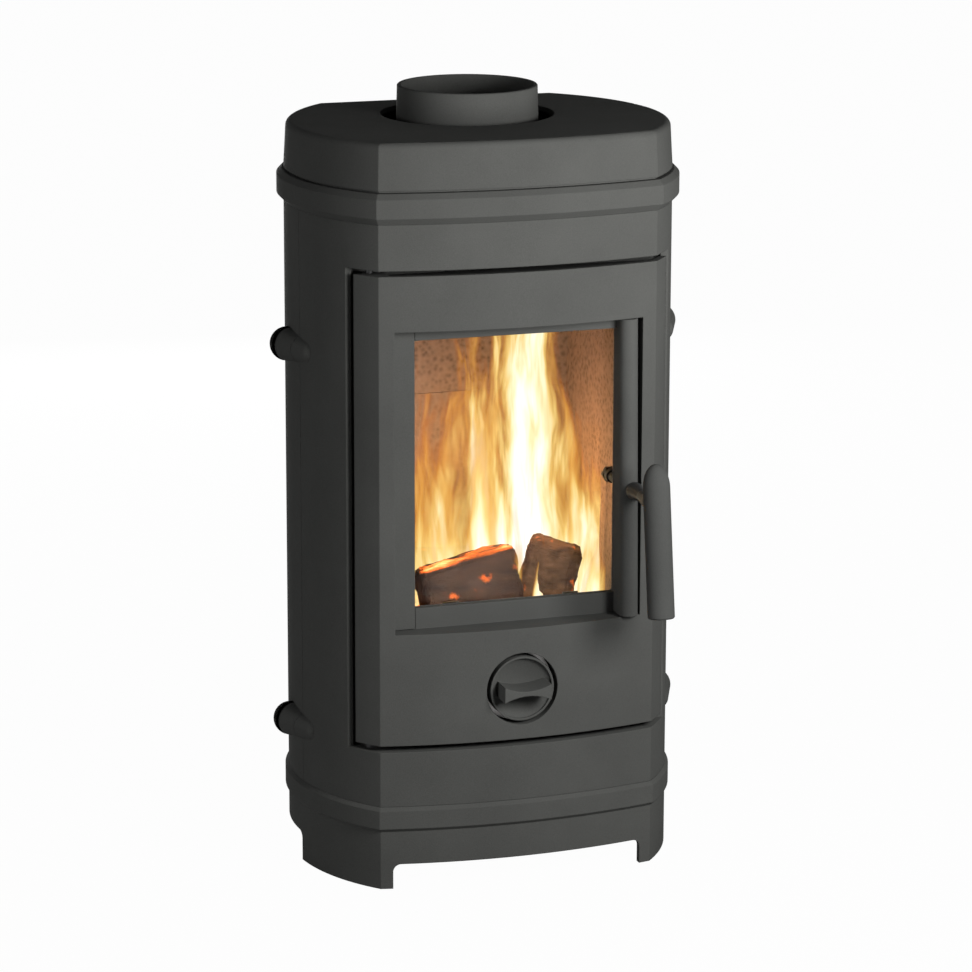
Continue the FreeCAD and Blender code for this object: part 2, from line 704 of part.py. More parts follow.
# Cap: a hollow cover on a narrower foot, with a round hole that leaves a warm-air gap about the collar
def make_cap():
    foot = plan_block("cap_foot", "rim_top", "rim_top + cap_groove + lap", "-cap_groove_in")
    outer = plan_block("cap_block", "rim_top + cap_groove", "rim_top + cap_height", "0", "-cap_draft")
    roof = value("rim_top") + value("cap_height")
    outer = round_edges("cap_outer", outer, value("cap_round"), lambda edge, at: abs(at.z - roof) < 0.01)
    inner = plan_block("cap_inner", "rim_top - past", "rim_top + cap_height - cap_roof",
                       "-wall", "-wall - cap_draft")
    hole = rod("cap_hole_cut", "z", ("0", "flue_y"), "cap_hole", ("rim_top", "rim_top + cap_height + past"))
    piece("cap", cut("cap_less", fuse("cap_solid", outer, foot), inner, hole))


# Flue collar: a flanged, slightly tapered pipe socket
def make_collar():
    flange_low = "plate_bottom + top_plate"
    flange_high = "plate_bottom + top_plate + flange_thick"
    tube = turned("flue_collar_body", "XZ_Plane", "V_Axis", [
        ("flue_bore", flange_low), ("collar_flange", flange_low), ("collar_flange", flange_high),
        ("collar_base_radius", flange_high), ("collar_top_radius", "collar_height - 1"),
        ("collar_top_radius - 1", "collar_height"), ("flue_bore", "collar_height")], y="flue_y")
    holes = [rod("collar_hole_%d" % index, "z", centre, "tie_radius + hole_fit",
                 (flange_low + " - past", flange_high + " + past"))
             for index, centre in enumerate(COLLAR_BOLTS)]
    piece("flue_collar", cut("collar_less", tube, *holes))
    bolts = [screw("collar_bolt_%d" % index, "z", centre, "tie_radius",
                   ("plate_bottom - past", flange_high + " + lap"),
                   (flange_high, flange_high + " + nut_high"), "flange_reach / 2 - seat_gap")
             for index, centre in enumerate(COLLAR_BOLTS)]
    piece("collar_bolts", group("collar_bolt_set", *bolts))


def behind_seat(name):
    """The room behind the seat that the door closes on."""
    return box(name, ("-far", "far"), ("seat_front + seat_thick + seat_gap", "far"), ("0", "collar_height"))


# Floors, grate and linings of the fire chamber
def make_floors():
    ash = plan_block("ash_plan", "ash_floor_top - ash_floor_thick", "ash_floor_top",
                     "-wall - ash_floor_gap")
    piece("ash_floor", common("ash_floor_plate", ash, behind_seat("ash_room")))
    plan = plan_block("hearth_plan", "hearth_top - hearth_thick", "hearth_top", "-wall - seat_gap")
    plate = common("hearth_blank", plan, behind_seat("hearth_room"))
    hole = box("hearth_hole", ("-grate_half + grate_lip", "grate_half - grate_lip"),
               ("grate_y - grate_half + grate_lip", "grate_y + grate_half - grate_lip"),
               ("0", "hearth_top + past"))
    rebate = box("hearth_rebate", ("-grate_half - seat_gap", "grate_half + seat_gap"),
                 ("grate_y - grate_half - seat_gap", "grate_y + grate_half + seat_gap"),
                 ("hearth_top - grate_thick", "hearth_top + past"))
    piece("hearth_plate", cut("hearth_less", plate, hole, rebate))


def make_grate():
    body = doc.addObject("PartDesign::Body", "grate_body")
    outline = polygon_sketch(body, "grate_outline", "XY_Plane", [
        ("-grate_half", "-grate_half"), ("grate_half", "-grate_half"), ("grate_half", "grate_half"),
        ("-grate_half", "grate_half")])
    pad = body.newObject("PartDesign::Pad", "grate_pad")
    pad.Profile = outline
    bind(pad, Length="grate_thick")
    doc.recompute()
    blank = body.Shape.Volume
    half = "grate_half - grate_border"
    slot = polygon_sketch(body, "grate_slot_outline", "XY_Plane", [
        ("-(%s)" % half, "-grate_slot / 2"), (half, "-grate_slot / 2"), (half, "grate_slot / 2"),
        ("-(%s)" % half, "grate_slot / 2")])
    pocket = body.newObject("PartDesign::Pocket", "grate_slot_cut")
    pocket.Profile = slot
    pocket.Type = 1
    pocket.Midplane = True
    doc.recompute()
    upright = [item for item in body.Origin.OriginFeatures if item.Role == "Y_Axis"][0]
    reach = value("grate_half") - value("grate_border") - value("grate_slot") / 2
    count = int(reach / value("grate_pitch"))
    for name, back in (("grate_slots_rear", False), ("grate_slots_front", True)):
        row = body.newObject("PartDesign::LinearPattern", name)
        row.Originals = [pocket]
        row.Direction = (upright, [""])
        row.Reversed = back
        row.Occurrences = count + 1
        bind(row, Length="grate_pitch * %d" % count)
        body.Tip = row
    doc.recompute()
    if body.Shape.Volume >= blank:
        raise RuntimeError("the grate has no slots")
    body.setExpression("Placement.Base.z", cell("hearth_top - grate_thick"))
    body.Label = "grate"
    body.setExpression("Placement.Base.y", cell("grate_y + axis_y"))
    NODES.append(body)


def make_linings():
    stand = "hearth_top"
    for name, low, high in (("left_liner", "-liner_inner - liner_thick", "-liner_inner"),
                            ("right_liner", "liner_inner", "liner_inner + liner_thick")):
        piece(name, box(name + "_slab", (low, high), ("liner_front", "liner_rear"),
                        (stand, "liner_top")))
    piece("rear_liner", box("rear_liner_slab", ("-liner_inner - liner_thick", "liner_inner + liner_thick"),
                            ("liner_rear + seat_gap", "liner_rear + liner_thick"),
                            (stand, "rear_liner_top")))
    piece("upper_rear_liner", box("upper_rear_slab",
                                  ("-liner_inner - liner_thick", "liner_inner + liner_thick"),
                                  ("liner_rear + seat_gap", "liner_rear + liner_thick"),
                                  ("rear_liner_top + liner_joint", "liner_top")))
    piece("baffle", box("baffle_slab", ("-liner_inner - liner_thick", "liner_inner + liner_thick"),
                        ("baffle_front", "liner_rear + liner_thick"),
                        ("liner_top", "liner_top + baffle_thick")))
    piece("log_guard", box("log_guard_bar", ("seat_gap - liner_inner", "liner_inner - seat_gap"),
                           ("guard_y", "guard_y + guard_thick"), (stand, "hearth_top + guard_high")))


def make_ash_pan():
    low = "ash_floor_top + seat_gap"
    high = "ash_floor_top + seat_gap + pan_high"
    outer = box("pan_outer", ("-pan_half", "pan_half"), ("pan_front", "pan_rear"), (low, high))
    inner = box("pan_inner", ("pan_sheet - pan_half", "pan_half - pan_sheet"),
                ("pan_front + pan_sheet", "pan_rear - pan_sheet"),
                (low + " + pan_sheet", high + " + past"))
    piece("ash_pan", cut("pan_less", outer, inner))
    level = "ash_floor_top + pan_bar_z"
    out = "pan_front - pan_bar_out"
    grip = rod("pan_bar", "x", (out, level), "pan_bar_radius",
               ("-pan_bar_half - pan_bar_radius", "pan_bar_half + pan_bar_radius"))
    legs = [rod("pan_leg_%d" % index, "y", (x, level), "pan_bar_radius", (out, "pan_front"))
            for index, x in enumerate(("-pan_bar_half", "pan_bar_half"))]
    piece("ash_pan_handle", fuse("pan_handle_bar", grip, *legs))


# Door casting: bowed skin, sunken window well, sealing rib, air boss and hinge knuckles
def make_door():
    skin_outer = plan_block("door_outer", "door_bottom", "door_top")
    skin_inner = plan_block("door_inner", "door_bottom - past", "door_top + past", "-wall")
    ahead = box("door_ahead", ("-far", "far"), ("-far", "door_edge"), ("0", "collar_height"))
    skin = common("door_skin", cut("door_skin_all", skin_outer, skin_inner), ahead)
    within = plan_block("door_within", "door_bottom", "door_top", "-1")
    rib_low = "door_bottom + rim_rib_inset"
    rib_high = "door_top - rim_rib_inset"
    rib = cut("door_rib", box("door_rib_outer", ("-rim_rib_half", "rim_rib_half"), ("-far", "rim_rib_rear"),
                              (rib_low, rib_high)),
              box("door_rib_inner", ("rim_rib - rim_rib_half", "rim_rib_half - rim_rib"),
                  ("-far - past", "0"),
                  (rib_low + " + rim_rib", rib_high + " - rim_rib")))
    well = box("door_well", ("-well_half - wall", "well_half + wall"), ("-far", "well_floor + wall"),
               ("well_bottom - wall", "well_top + wall"))
    boss = rod("door_air_boss", "y", ("0", "air_z"), "air_boss", ("-far", "air_seat_front"))
    hinge = ("hinge_x", "hinge_y")
    spans = (("door_top - knuckle_high", "door_top"), ("door_bottom", "door_bottom + knuckle_high"))
    knuckles = []
    webs = []
    for index, span in enumerate(spans):
        knuckles.append(rod("door_knuckle_%d" % index, "z", hinge, "knuckle", span))
        webs.append(box("door_web_%d" % index, ("hinge_x - knuckle", "rim_rib - rim_rib_half"),
                        ("-far", "hinge_y"), span))
    backing = common("door_backing", fuse("door_backing_all", rib, well, boss, *webs), within)
    solid = fuse("door_solid", skin, backing, *knuckles)
    pocket = box("door_pocket", ("-well_half", "well_half"), ("-far", "well_floor"),
                 ("well_bottom", "well_top"))
    window = box("door_window", ("window_x - window_half", "window_x + window_half"), ("-far", "0"),
                 ("window_bottom", "window_top"))
    groove = box("door_bar_groove", ("window_x - window_half", "window_x - window_half + bar_groove"),
                 ("well_floor - past", "well_floor + bar_thick"), ("well_bottom", "well_top"))
    air = rod("door_air_hole", "y", ("0", "air_z"), "air_hole", ("-far", "air_seat_front + past"))
    bores = [rod("door_bore_%d" % index, "z", hinge, "hinge_pin + pin_fit",
                 (span[0] + " - past", span[1] + " + past")) for index, span in enumerate(spans)]
    spindle = rod("door_spindle_hole", "y", ("spindle_x", "spindle_z"), "spindle_radius + pin_fit",
                  ("well_floor - past", "well_floor + wall + past"))
    through = [rod("door_hole_%d" % index, "y", centre, "screw_radius + hole_fit",
                   ("well_floor - past", "well_floor + wall + past"))
               for index, centre in enumerate(COLUMN_SCREWS)]
    blind = [rod("door_clip_hole_%d" % index, "y", centre, "screw_radius + hole_fit",
                 ("well_floor + past", "well_floor + wall + past"))
             for index, centre in enumerate(CLIP_SCREWS)]
    air_holes = [rod("door_air_screw_hole_%d" % index, "y", centre, "screw_radius + hole_fit",
                     ("air_seat_front - screw_bite - past", "air_seat_front + past"))
                 for index, centre in enumerate(AIR_SCREWS)]
    piece("door", cut("door_less", solid, pocket, window, groove, air, spindle,
                      *(bores + through + blind + air_holes)))


COLUMN_SCREWS = [("column_x + column_screw_set", "spindle_z %s column_screw_pitch / 2" % sign)
                 for sign in "-+"]
CLIP_SPOTS = [(x, up) for x in ("window_x - clip_x", "window_x + clip_x") for up in (False, True)]
CLIP_SCREWS = [(x, "window_top + glass_lap + clip_foot / 2 + clip_gap" if up
                else "window_bottom - glass_lap - clip_foot / 2 - clip_gap") for x, up in CLIP_SPOTS]
AIR_SCREWS = [("air_screw_circle * cos(%d deg)" % angle, "air_z + air_screw_circle * sin(%d deg)" % angle)
              for angle in (90, 200, 340)]
AIR_PORTS = [("air_port_circle * cos(%d deg)" % angle, "air_z + air_port_circle * sin(%d deg)" % angle)
             for angle in (90, 210, 330)]


# The half-round column in the window well that the latch spindle passes through. Its top leans back.
def make_column():
    length = ("-past * 2", "column_high - column_low + past * 2")
    bar = fuse("column_bar",
               box("column_root", ("-column_radius", "column_radius"), ("0", "far"), length),
               rod("column_nose", "z", ("0", "0"), "column_radius", length))
    bar.Placement.Rotation = FreeCAD.Rotation(FreeCAD.Vector(1, 0, 0), -value("column_lean"))
    place(bar, "column_x", "column_foot", "column_low")
    room = box("column_room", ("-far", "far"), ("-far", "well_floor"), ("column_low", "column_high"))
    body = common("column_solid", bar, room)
    bore = rod("column_bore", "y", ("spindle_x", "spindle_z"), "spindle_radius + pin_fit",
               ("column_front - past * 2", "well_floor + past"))
    holes = [rod("column_hole_%d" % index, "y", centre, "screw_radius + hole_fit",
                 ("well_floor - screw_bite * 2 - past", "well_floor + past"))
             for index, centre in enumerate(COLUMN_SCREWS)]
    piece("latch_column", cut("column_less", body, bore, *holes))
    back = "well_floor + wall"
    screws = [screw("column_screw_%d" % index, "y", centre, "screw_radius",
                    ("well_floor - screw_bite * 2", back + " + lap"),
                    (back, back + " + screw_head_high"), "screw_head")
              for index, centre in enumerate(COLUMN_SCREWS)]
    piece("column_screws", group("column_screw_set", *screws))


def frame_ring(name, x, half, low, high, band, y):
    """A flat rectangular ring, as for a seal."""
    outer = box(name + "_outer", ("%s - (%s)" % (x, half), "%s + (%s)" % (x, half)), y, (low, high))
    inner = box(name + "_inner", ("%s + %s - (%s)" % (x, band, half), "%s - %s + (%s)" % (x, band, half)),
                ("(%s) - past" % y[0], "(%s) + past" % y[1]),
                ("(%s) + %s" % (low, band), "(%s) - %s" % (high, band)))
    return cut(name, outer, inner)


def make_glazing():
    half = "window_half + glass_lap"
    low = "window_bottom - glass_lap"
    high = "window_top + glass_lap"
    back = "well_floor + wall"
    piece("glass_seal", frame_ring("glass_seal_ring", "window_x", half, low, high, "glass_lap",
                                   (back, "glass_front")))
    piece("glass_pane", box("glass_sheet", ("window_x - (%s)" % half, "window_x + (%s)" % half),
                            ("glass_front", "glass_front + glass_thick"), (low, high)))
    piece("glass_bar", box("glass_bar_strip", ("bar_gap - well_half", "window_x - window_half"),
                           ("well_floor - bar_thick", "well_floor"),
                           ("well_bottom + bar_gap", "well_top - bar_gap")))
    clips = []
    rear = "glass_front + glass_thick"
    for index, (x, up) in enumerate(CLIP_SPOTS):
        span = ("%s - clip_half" % x, "%s + clip_half" % x)
        if up:
            foot = (high + " + clip_gap", high + " + clip_gap + clip_foot")
            tongue = (high + " - glass_lap", high + " + clip_gap + lap")
        else:
            foot = (low + " - clip_gap - clip_foot", low + " - clip_gap")
            tongue = (low + " - clip_gap - 1", low + " + glass_lap")
        shape = fuse("clip_%d" % index,
                     box("clip_foot_%d" % index, span, (back, rear + " + clip_thick"), foot),
                     box("clip_tongue_%d" % index, span, (rear, rear + " + clip_thick"), tongue))
        hole = rod("clip_hole_%d" % index, "y", CLIP_SCREWS[index], "screw_radius + hole_fit",
                   (back + " - past", rear + " + clip_thick + past"))
        clips.append(cut("clip_less_%d" % index, shape, hole))
    piece("glass_clips", group("clip_set", *clips))
    top = rear + " + clip_thick"
    screws = [screw("clip_screw_%d" % index, "y", centre, "screw_radius",
                    ("well_floor + past + seat_gap", top + " + lap"),
                    (top, top + " + screw_head_high"), "screw_head")
              for index, centre in enumerate(CLIP_SCREWS)]
    piece("clip_screws", group("clip_screw_set", *screws))
    margin = "(rim_rib - gasket_width) / 2"
    piece("door_seal", frame_ring("door_seal_ring", "0", "rim_rib_half - " + margin,
                                  "door_bottom + rim_rib_inset + " + margin,
                                  "door_top - rim_rib_inset - " + margin, "gasket_width",
                                  ("rim_rib_rear", "seat_front - gasket_gap")))


# Hinge pins: the upper one drops through the lintel, the lower one stands on the sill and carries the door
def make_hinge_pins():
    hinge = ("hinge_x", "hinge_y")
    boss_top = "lintel + shelf + hinge_boss_high"
    upper_shank = rod("upper_pin_shank", "z", hinge, "hinge_pin",
                      ("door_top - knuckle_high + knuckle_end", boss_top + " + lap"))
    upper_head = rod("upper_pin_head", "z", hinge, "pin_head", (boss_top, boss_top + " + pin_head_high"))
    piece("upper_hinge_pin", fuse("upper_pin", upper_shank, upper_head))
    lower_shank = rod("lower_pin_shank", "z", hinge, "hinge_pin",
                      ("sill - shelf - hinge_boss_high", "door_bottom + knuckle_high - knuckle_end"))
    lower_collar = rod("lower_pin_collar", "z", hinge, "pin_head", ("sill", "sill + sill_pin_high"))
    piece("lower_hinge_pin", fuse("lower_pin", lower_shank, lower_collar))


# Handle, spindle and latch cam
def make_latch():
    axis = ("spindle_x", "spindle_z")
    bar = fuse("handle_bar", rod("handle_shaft", "z", ("0", "0"), "handle_radius",
                                 ("handle_ease - handle_below", "handle_straight")),
               handle_end(), handle_dome())
    bar.Placement.Rotation = FreeCAD.Rotation(FreeCAD.Vector(1, 0, 0), -value("handle_tilt"))
    place(bar, "spindle_x", "handle_y", "spindle_z")
    socket = rod("handle_socket", "y", axis, "spindle_radius + hole_fit", ("handle_y", "handle_y + far"))
    neck_seat = rod("handle_neck_seat", "y", axis, "neck_radius + hole_fit",
                    ("handle_y + handle_radius / 2", "handle_y + far"))
    piece("handle_grip", cut("handle_less", bar, socket, neck_seat))
    spindle = turned("spindle_body", "XY_Plane", "V_Axis", [
        ("0", "handle_y + seat_gap"), ("spindle_radius", "handle_y + seat_gap"),
        ("spindle_radius", "handle_y + handle_radius / 2 + seat_gap"),
        ("neck_radius", "handle_y + handle_radius / 2 + seat_gap"),
        ("neck_radius", "handle_y + handle_radius + neck_reach"),
        ("neck_waist", "(handle_y + handle_radius + neck_reach + neck_end) / 2"),
        ("neck_radius", "neck_end - neck_land"), ("neck_radius", "neck_end"), ("spindle_radius", "neck_end"),
        ("spindle_radius", "tongue_front + tongue_thick + nut_high + thread_end"),
        ("0", "tongue_front + tongue_thick + nut_high + thread_end")], x="spindle_x", z="spindle_z")
    spindle.setExpression("Placement.Base.y", cell("axis_y"))
    spindle.Label = "latch_spindle"
    NODES.append(spindle)
    depth = ("tongue_front", "tongue_front + tongue_thick")
    tongue = fuse("tongue", rod("cam_hub_disc", "y", axis, "cam_hub", depth),
                  box("cam_tongue", ("spindle_x", "spindle_x + tongue_reach"), depth,
                      ("spindle_z - tongue_half", "spindle_z + tongue_half")))
    piece("latch_cam", cut("cam_less", tongue, rod("cam_bore", "y", axis, "spindle_radius + hole_fit",
                                                   ("tongue_front - past", "tongue_front + tongue_thick + past"))))
    nut_low = "tongue_front + tongue_thick"
    piece("latch_nut", cut("latch_nut_less", hexagon("latch_nut_hex", "y", axis, "spindle_radius + nut_wall",
                                                     (nut_low, nut_low + " + nut_high")),
                           rod("latch_nut_bore", "y", axis, "spindle_radius + hole_fit",
                               (nut_low + " - past", nut_low + " + nut_high + past"))))
    inner = "seat_front + seat_thick"
    plate = box("keeper_plate", ("keeper_x", "keeper_x + keeper_wide"), (inner, inner + " + keeper_thick"),
                ("spindle_z - keeper_below", "spindle_z + keeper_above"))
    holes = [rod("keeper_plate_hole_%d" % index, "y", centre, "screw_radius + hole_fit",
                 (inner + " - past", inner + " + keeper_thick + past"))
             for index, centre in enumerate(KEEPER_SCREWS)]
    piece("latch_keeper", cut("keeper_less", plate, *holes))
    rear = inner + " + keeper_thick"
    screws = [screw("keeper_screw_%d" % index, "y", centre, "screw_radius",
                    ("seat_front + lap", rear + " + lap"),
                    (rear, rear + " + screw_head_high"), "screw_head")
              for index, centre in enumerate(KEEPER_SCREWS)]
    piece("keeper_screws", group("keeper_screw_set", *screws))


def handle_end():
    """The eased lower edge of the handle."""
    end = doc.addObject("Part::Cone", "handle_end")
    bind(end, Radius1="handle_radius - handle_ease", Radius2="handle_radius", Height="handle_ease")
    return place(end, z="-handle_below")


def handle_dome():
    """The long rounded top of the handle."""
    dome = doc.addObject("Part::Ellipsoid", "handle_dome_end")
    bind(dome, Radius1="handle_dome", Radius2="handle_radius", Radius3="handle_radius")
    return place(dome, z="handle_straight")


# Air control: a dished knob that turns a ported disc against a fixed one
def make_air_control():
    axis = ("0", "air_z")
    disc = rod("knob_disc", "y", axis, "knob_radius", ("knob_front", "knob_front + knob_thick"))
    hollow = ball("knob_hollow", "0", "knob_front + dish_step + dish_depth - dish_sphere", "air_z",
                  "dish_sphere")
    bowl = common("knob_dish", hollow, rod("knob_dish_wall", "y", axis, "dish_radius",
                                           ("knob_front - past", "knob_front + knob_thick")))
    blank = box("knob_bar_blank", ("-knob_bar_half", "knob_bar_half"),
                ("knob_front - knob_bar_proud", "knob_front + knob_thick"),
                ("air_z - knob_bar_end", "air_z + knob_bar_end"))
    scoops = [rod("knob_scoop_%d" % index, "y", ("0", "air_z %s (knob_bar_middle + bar_scoop)" % sign),
                  "bar_scoop", ("knob_front - far", "knob_front + far")) for index, sign in enumerate("-+")]
    bar = cut("knob_bar", blank, *scoops)
    rear = "knob_front + knob_thick"
    hub = rod("knob_hub_disc", "y", axis, "knob_hub", (rear + " - lap", "air_seat_front - run_gap"))
    rotor_low = "air_seat_front + air_seat_thick + run_gap"
    rotor_high = rotor_low + " + air_rotor_thick"
    pin = rod("knob_pin", "y", axis, "knob_spindle",
              (rear + " - lap", rotor_high + " + nut_high + thread_end"))
    piece("air_knob", fuse("knob_whole", cut("knob_dished", disc, bowl), bar, hub, pin))
    rotor = rod("rotor_disc", "y", axis, "air_rotor_radius", (rotor_low, rotor_high))
    rotor_bore = rod("rotor_bore", "y", axis, "knob_spindle + hole_fit",
                     (rotor_low + " - past", rotor_high + " + past"))
    piece("air_rotor", cut("rotor_less", rotor, rotor_bore, *ports("rotor", rotor_low, rotor_high)))
    piece("air_nut", cut("air_nut_less", hexagon("air_nut_hex", "y", axis, "knob_spindle + nut_wall",
                                                 (rotor_high, rotor_high + " + nut_high")),
                         rod("air_nut_bore", "y", axis, "knob_spindle + hole_fit",
                             (rotor_high + " - past", rotor_high + " + nut_high + past"))))
    low = "air_seat_front"
    high = "air_seat_front + air_seat_thick"
    holes = [rod("air_screw_hole_%d" % index, "y", centre, "screw_radius + hole_fit",
                 (low + " - past", high + " + past")) for index, centre in enumerate(AIR_SCREWS)]
    bore = rod("air_seat_bore", "y", axis, "knob_spindle + pin_fit", (low + " - past", high + " + past"))
    foot = box("air_seat_flat", ("-far", "far"), (low + " - past", high + " + past"),
               ("0", "door_bottom + rim_rib_inset + rim_rib + seat_gap"))
    piece("air_seat", cut("air_seat_less", rod("air_seat_disc", "y", axis, "air_boss", (low, high)), bore, foot,
                          *(ports("seat", low, high) + holes)))
    screws = [screw("air_screw_%d" % index, "y", centre, "screw_radius",
                    ("air_seat_front - screw_bite", high + " + lap"),
                    (high, high + " + screw_head_high"), "screw_head")
              for index, centre in enumerate(AIR_SCREWS)]
    piece("air_seat_screws", group("air_screw_set", *screws))


def ports(name, low, high):
    """The air holes through one of the two discs."""
    return [rod("%s_port_%d" % (name, index), "y", centre, "air_port", (low + " - past", high + " + past"))
            for index, centre in enumerate(AIR_PORTS)]


def write_parts():
    """Check every object of the model, then write one file for each sub-part."""
    doc.recompute()
    for thing in doc.Objects:
        if "Invalid" in thing.State or "Error" in thing.State:
            raise RuntimeError("%s did not build: %s" % (thing.Label, thing.State))
    for thing in NODES:
        if thing.Shape.isNull() or not thing.Shape.isValid() or not thing.Shape.Solids:
            raise RuntimeError("%s has no sound shape" % thing.Label)
    os.makedirs("parts", exist_ok=True)
    for thing in NODES:
        thing.Shape.exportStep(os.path.join("parts", thing.Label + ".step"))
        box_of = thing.Shape.BoundBox
        print("%-18s %d solids  x %.1f %.1f  y %.1f %.1f  z %.1f %.1f" % (
            thing.Label, len(thing.Shape.Solids), box_of.XMin, box_of.XMax, box_of.YMin, box_of.YMax,
            box_of.ZMin, box_of.ZMax))


make_base()
make_front_shell()
make_rear_shell()
make_tie_bolts()
make_top_plate()
make_cap()
make_collar()
make_floors()
make_grate()
make_linings()
make_ash_pan()
make_door()
make_column()
make_glazing()
make_hinge_pins()
make_latch()
make_air_control()
write_parts()
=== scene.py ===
import math

import bpy
from mathutils import Euler, Matrix, Vector


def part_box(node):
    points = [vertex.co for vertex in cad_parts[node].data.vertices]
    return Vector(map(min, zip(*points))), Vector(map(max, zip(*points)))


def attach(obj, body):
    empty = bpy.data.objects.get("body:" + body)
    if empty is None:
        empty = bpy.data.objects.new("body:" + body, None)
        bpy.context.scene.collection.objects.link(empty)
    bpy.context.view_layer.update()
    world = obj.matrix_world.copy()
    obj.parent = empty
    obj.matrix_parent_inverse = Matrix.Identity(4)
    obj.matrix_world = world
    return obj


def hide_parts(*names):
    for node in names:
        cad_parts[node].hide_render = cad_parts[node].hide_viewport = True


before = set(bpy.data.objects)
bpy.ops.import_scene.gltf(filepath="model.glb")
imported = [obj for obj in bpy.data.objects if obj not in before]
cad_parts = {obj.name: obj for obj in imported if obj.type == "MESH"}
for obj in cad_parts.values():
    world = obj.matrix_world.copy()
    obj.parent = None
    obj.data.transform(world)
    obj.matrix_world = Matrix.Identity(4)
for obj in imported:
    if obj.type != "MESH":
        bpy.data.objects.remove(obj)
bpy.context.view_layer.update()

bl_info = {
    "name": "Cast Iron Stove",
    "version": (1, 0, 0),
    "blender": (4, 5, 0),
    "location": "View3D > Sidebar > Stove",
    "description": "Finishes the castings, builds the rope seals and the log fire, and sets the stage",
    "category": "Object",
}

FIXED_BODY = "stove"
DOOR_BODY = "door"

PAINTED = ("base_casting", "front_shell", "rear_shell", "top_plate", "cap", "flue_collar", "door",
           "latch_column", "glass_bar", "air_knob")
# The black steel is partly these pieces' own dark finish and partly painted shade, made darker so the spindle
# between the column and the handle looks shaded
DARK_STEEL = ("latch_spindle", "latch_cam", "latch_nut", "tie_bolts", "collar_bolts", "upper_hinge_pin",
              "lower_hinge_pin")
BRIGHT_STEEL = ("latch_keeper", "keeper_screws", "column_screws", "glass_clips", "clip_screws", "air_seat",
                "air_seat_screws", "air_rotor", "air_nut")
BARE_IRON = ("ash_floor", "hearth_plate", "grate", "log_guard")
LININGS = ("left_liner", "right_liner", "rear_liner", "upper_rear_liner", "baffle")
PAN_SHEET = ("ash_pan", "ash_pan_handle")


def clear_selection():
    """Leave edit mode and select nothing, so that the next operator acts on its own piece alone."""
    if bpy.context.mode != "OBJECT":
        bpy.ops.object.mode_set(mode="OBJECT")
    bpy.ops.object.select_all(action="DESELECT")


def pick(piece):
    """Make one piece the only one selected."""
    clear_selection()
    piece.select_set(True)
    bpy.context.view_layer.objects.active = piece
    return piece


def new_piece(name):
    """Name the piece that an operator has just added."""
    piece = bpy.context.active_object
    piece.name = name
    piece.data.name = name
    return piece


def settle(piece, body, finish):
    """Put a piece's place into its mesh, give it its finish and let it ride on its body."""
    pick(piece)
    bpy.ops.object.transform_apply(location=True, rotation=True, scale=True)
    piece.data.materials.clear()
    piece.data.materials.append(finish)
    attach(piece, body)
    clear_selection()
    return piece


def apply_modifiers(piece):
    """Apply every modifier of a piece, in order."""
    pick(piece)
    for modifier in list(piece.modifiers):
        bpy.ops.object.modifier_apply(modifier=modifier.name)


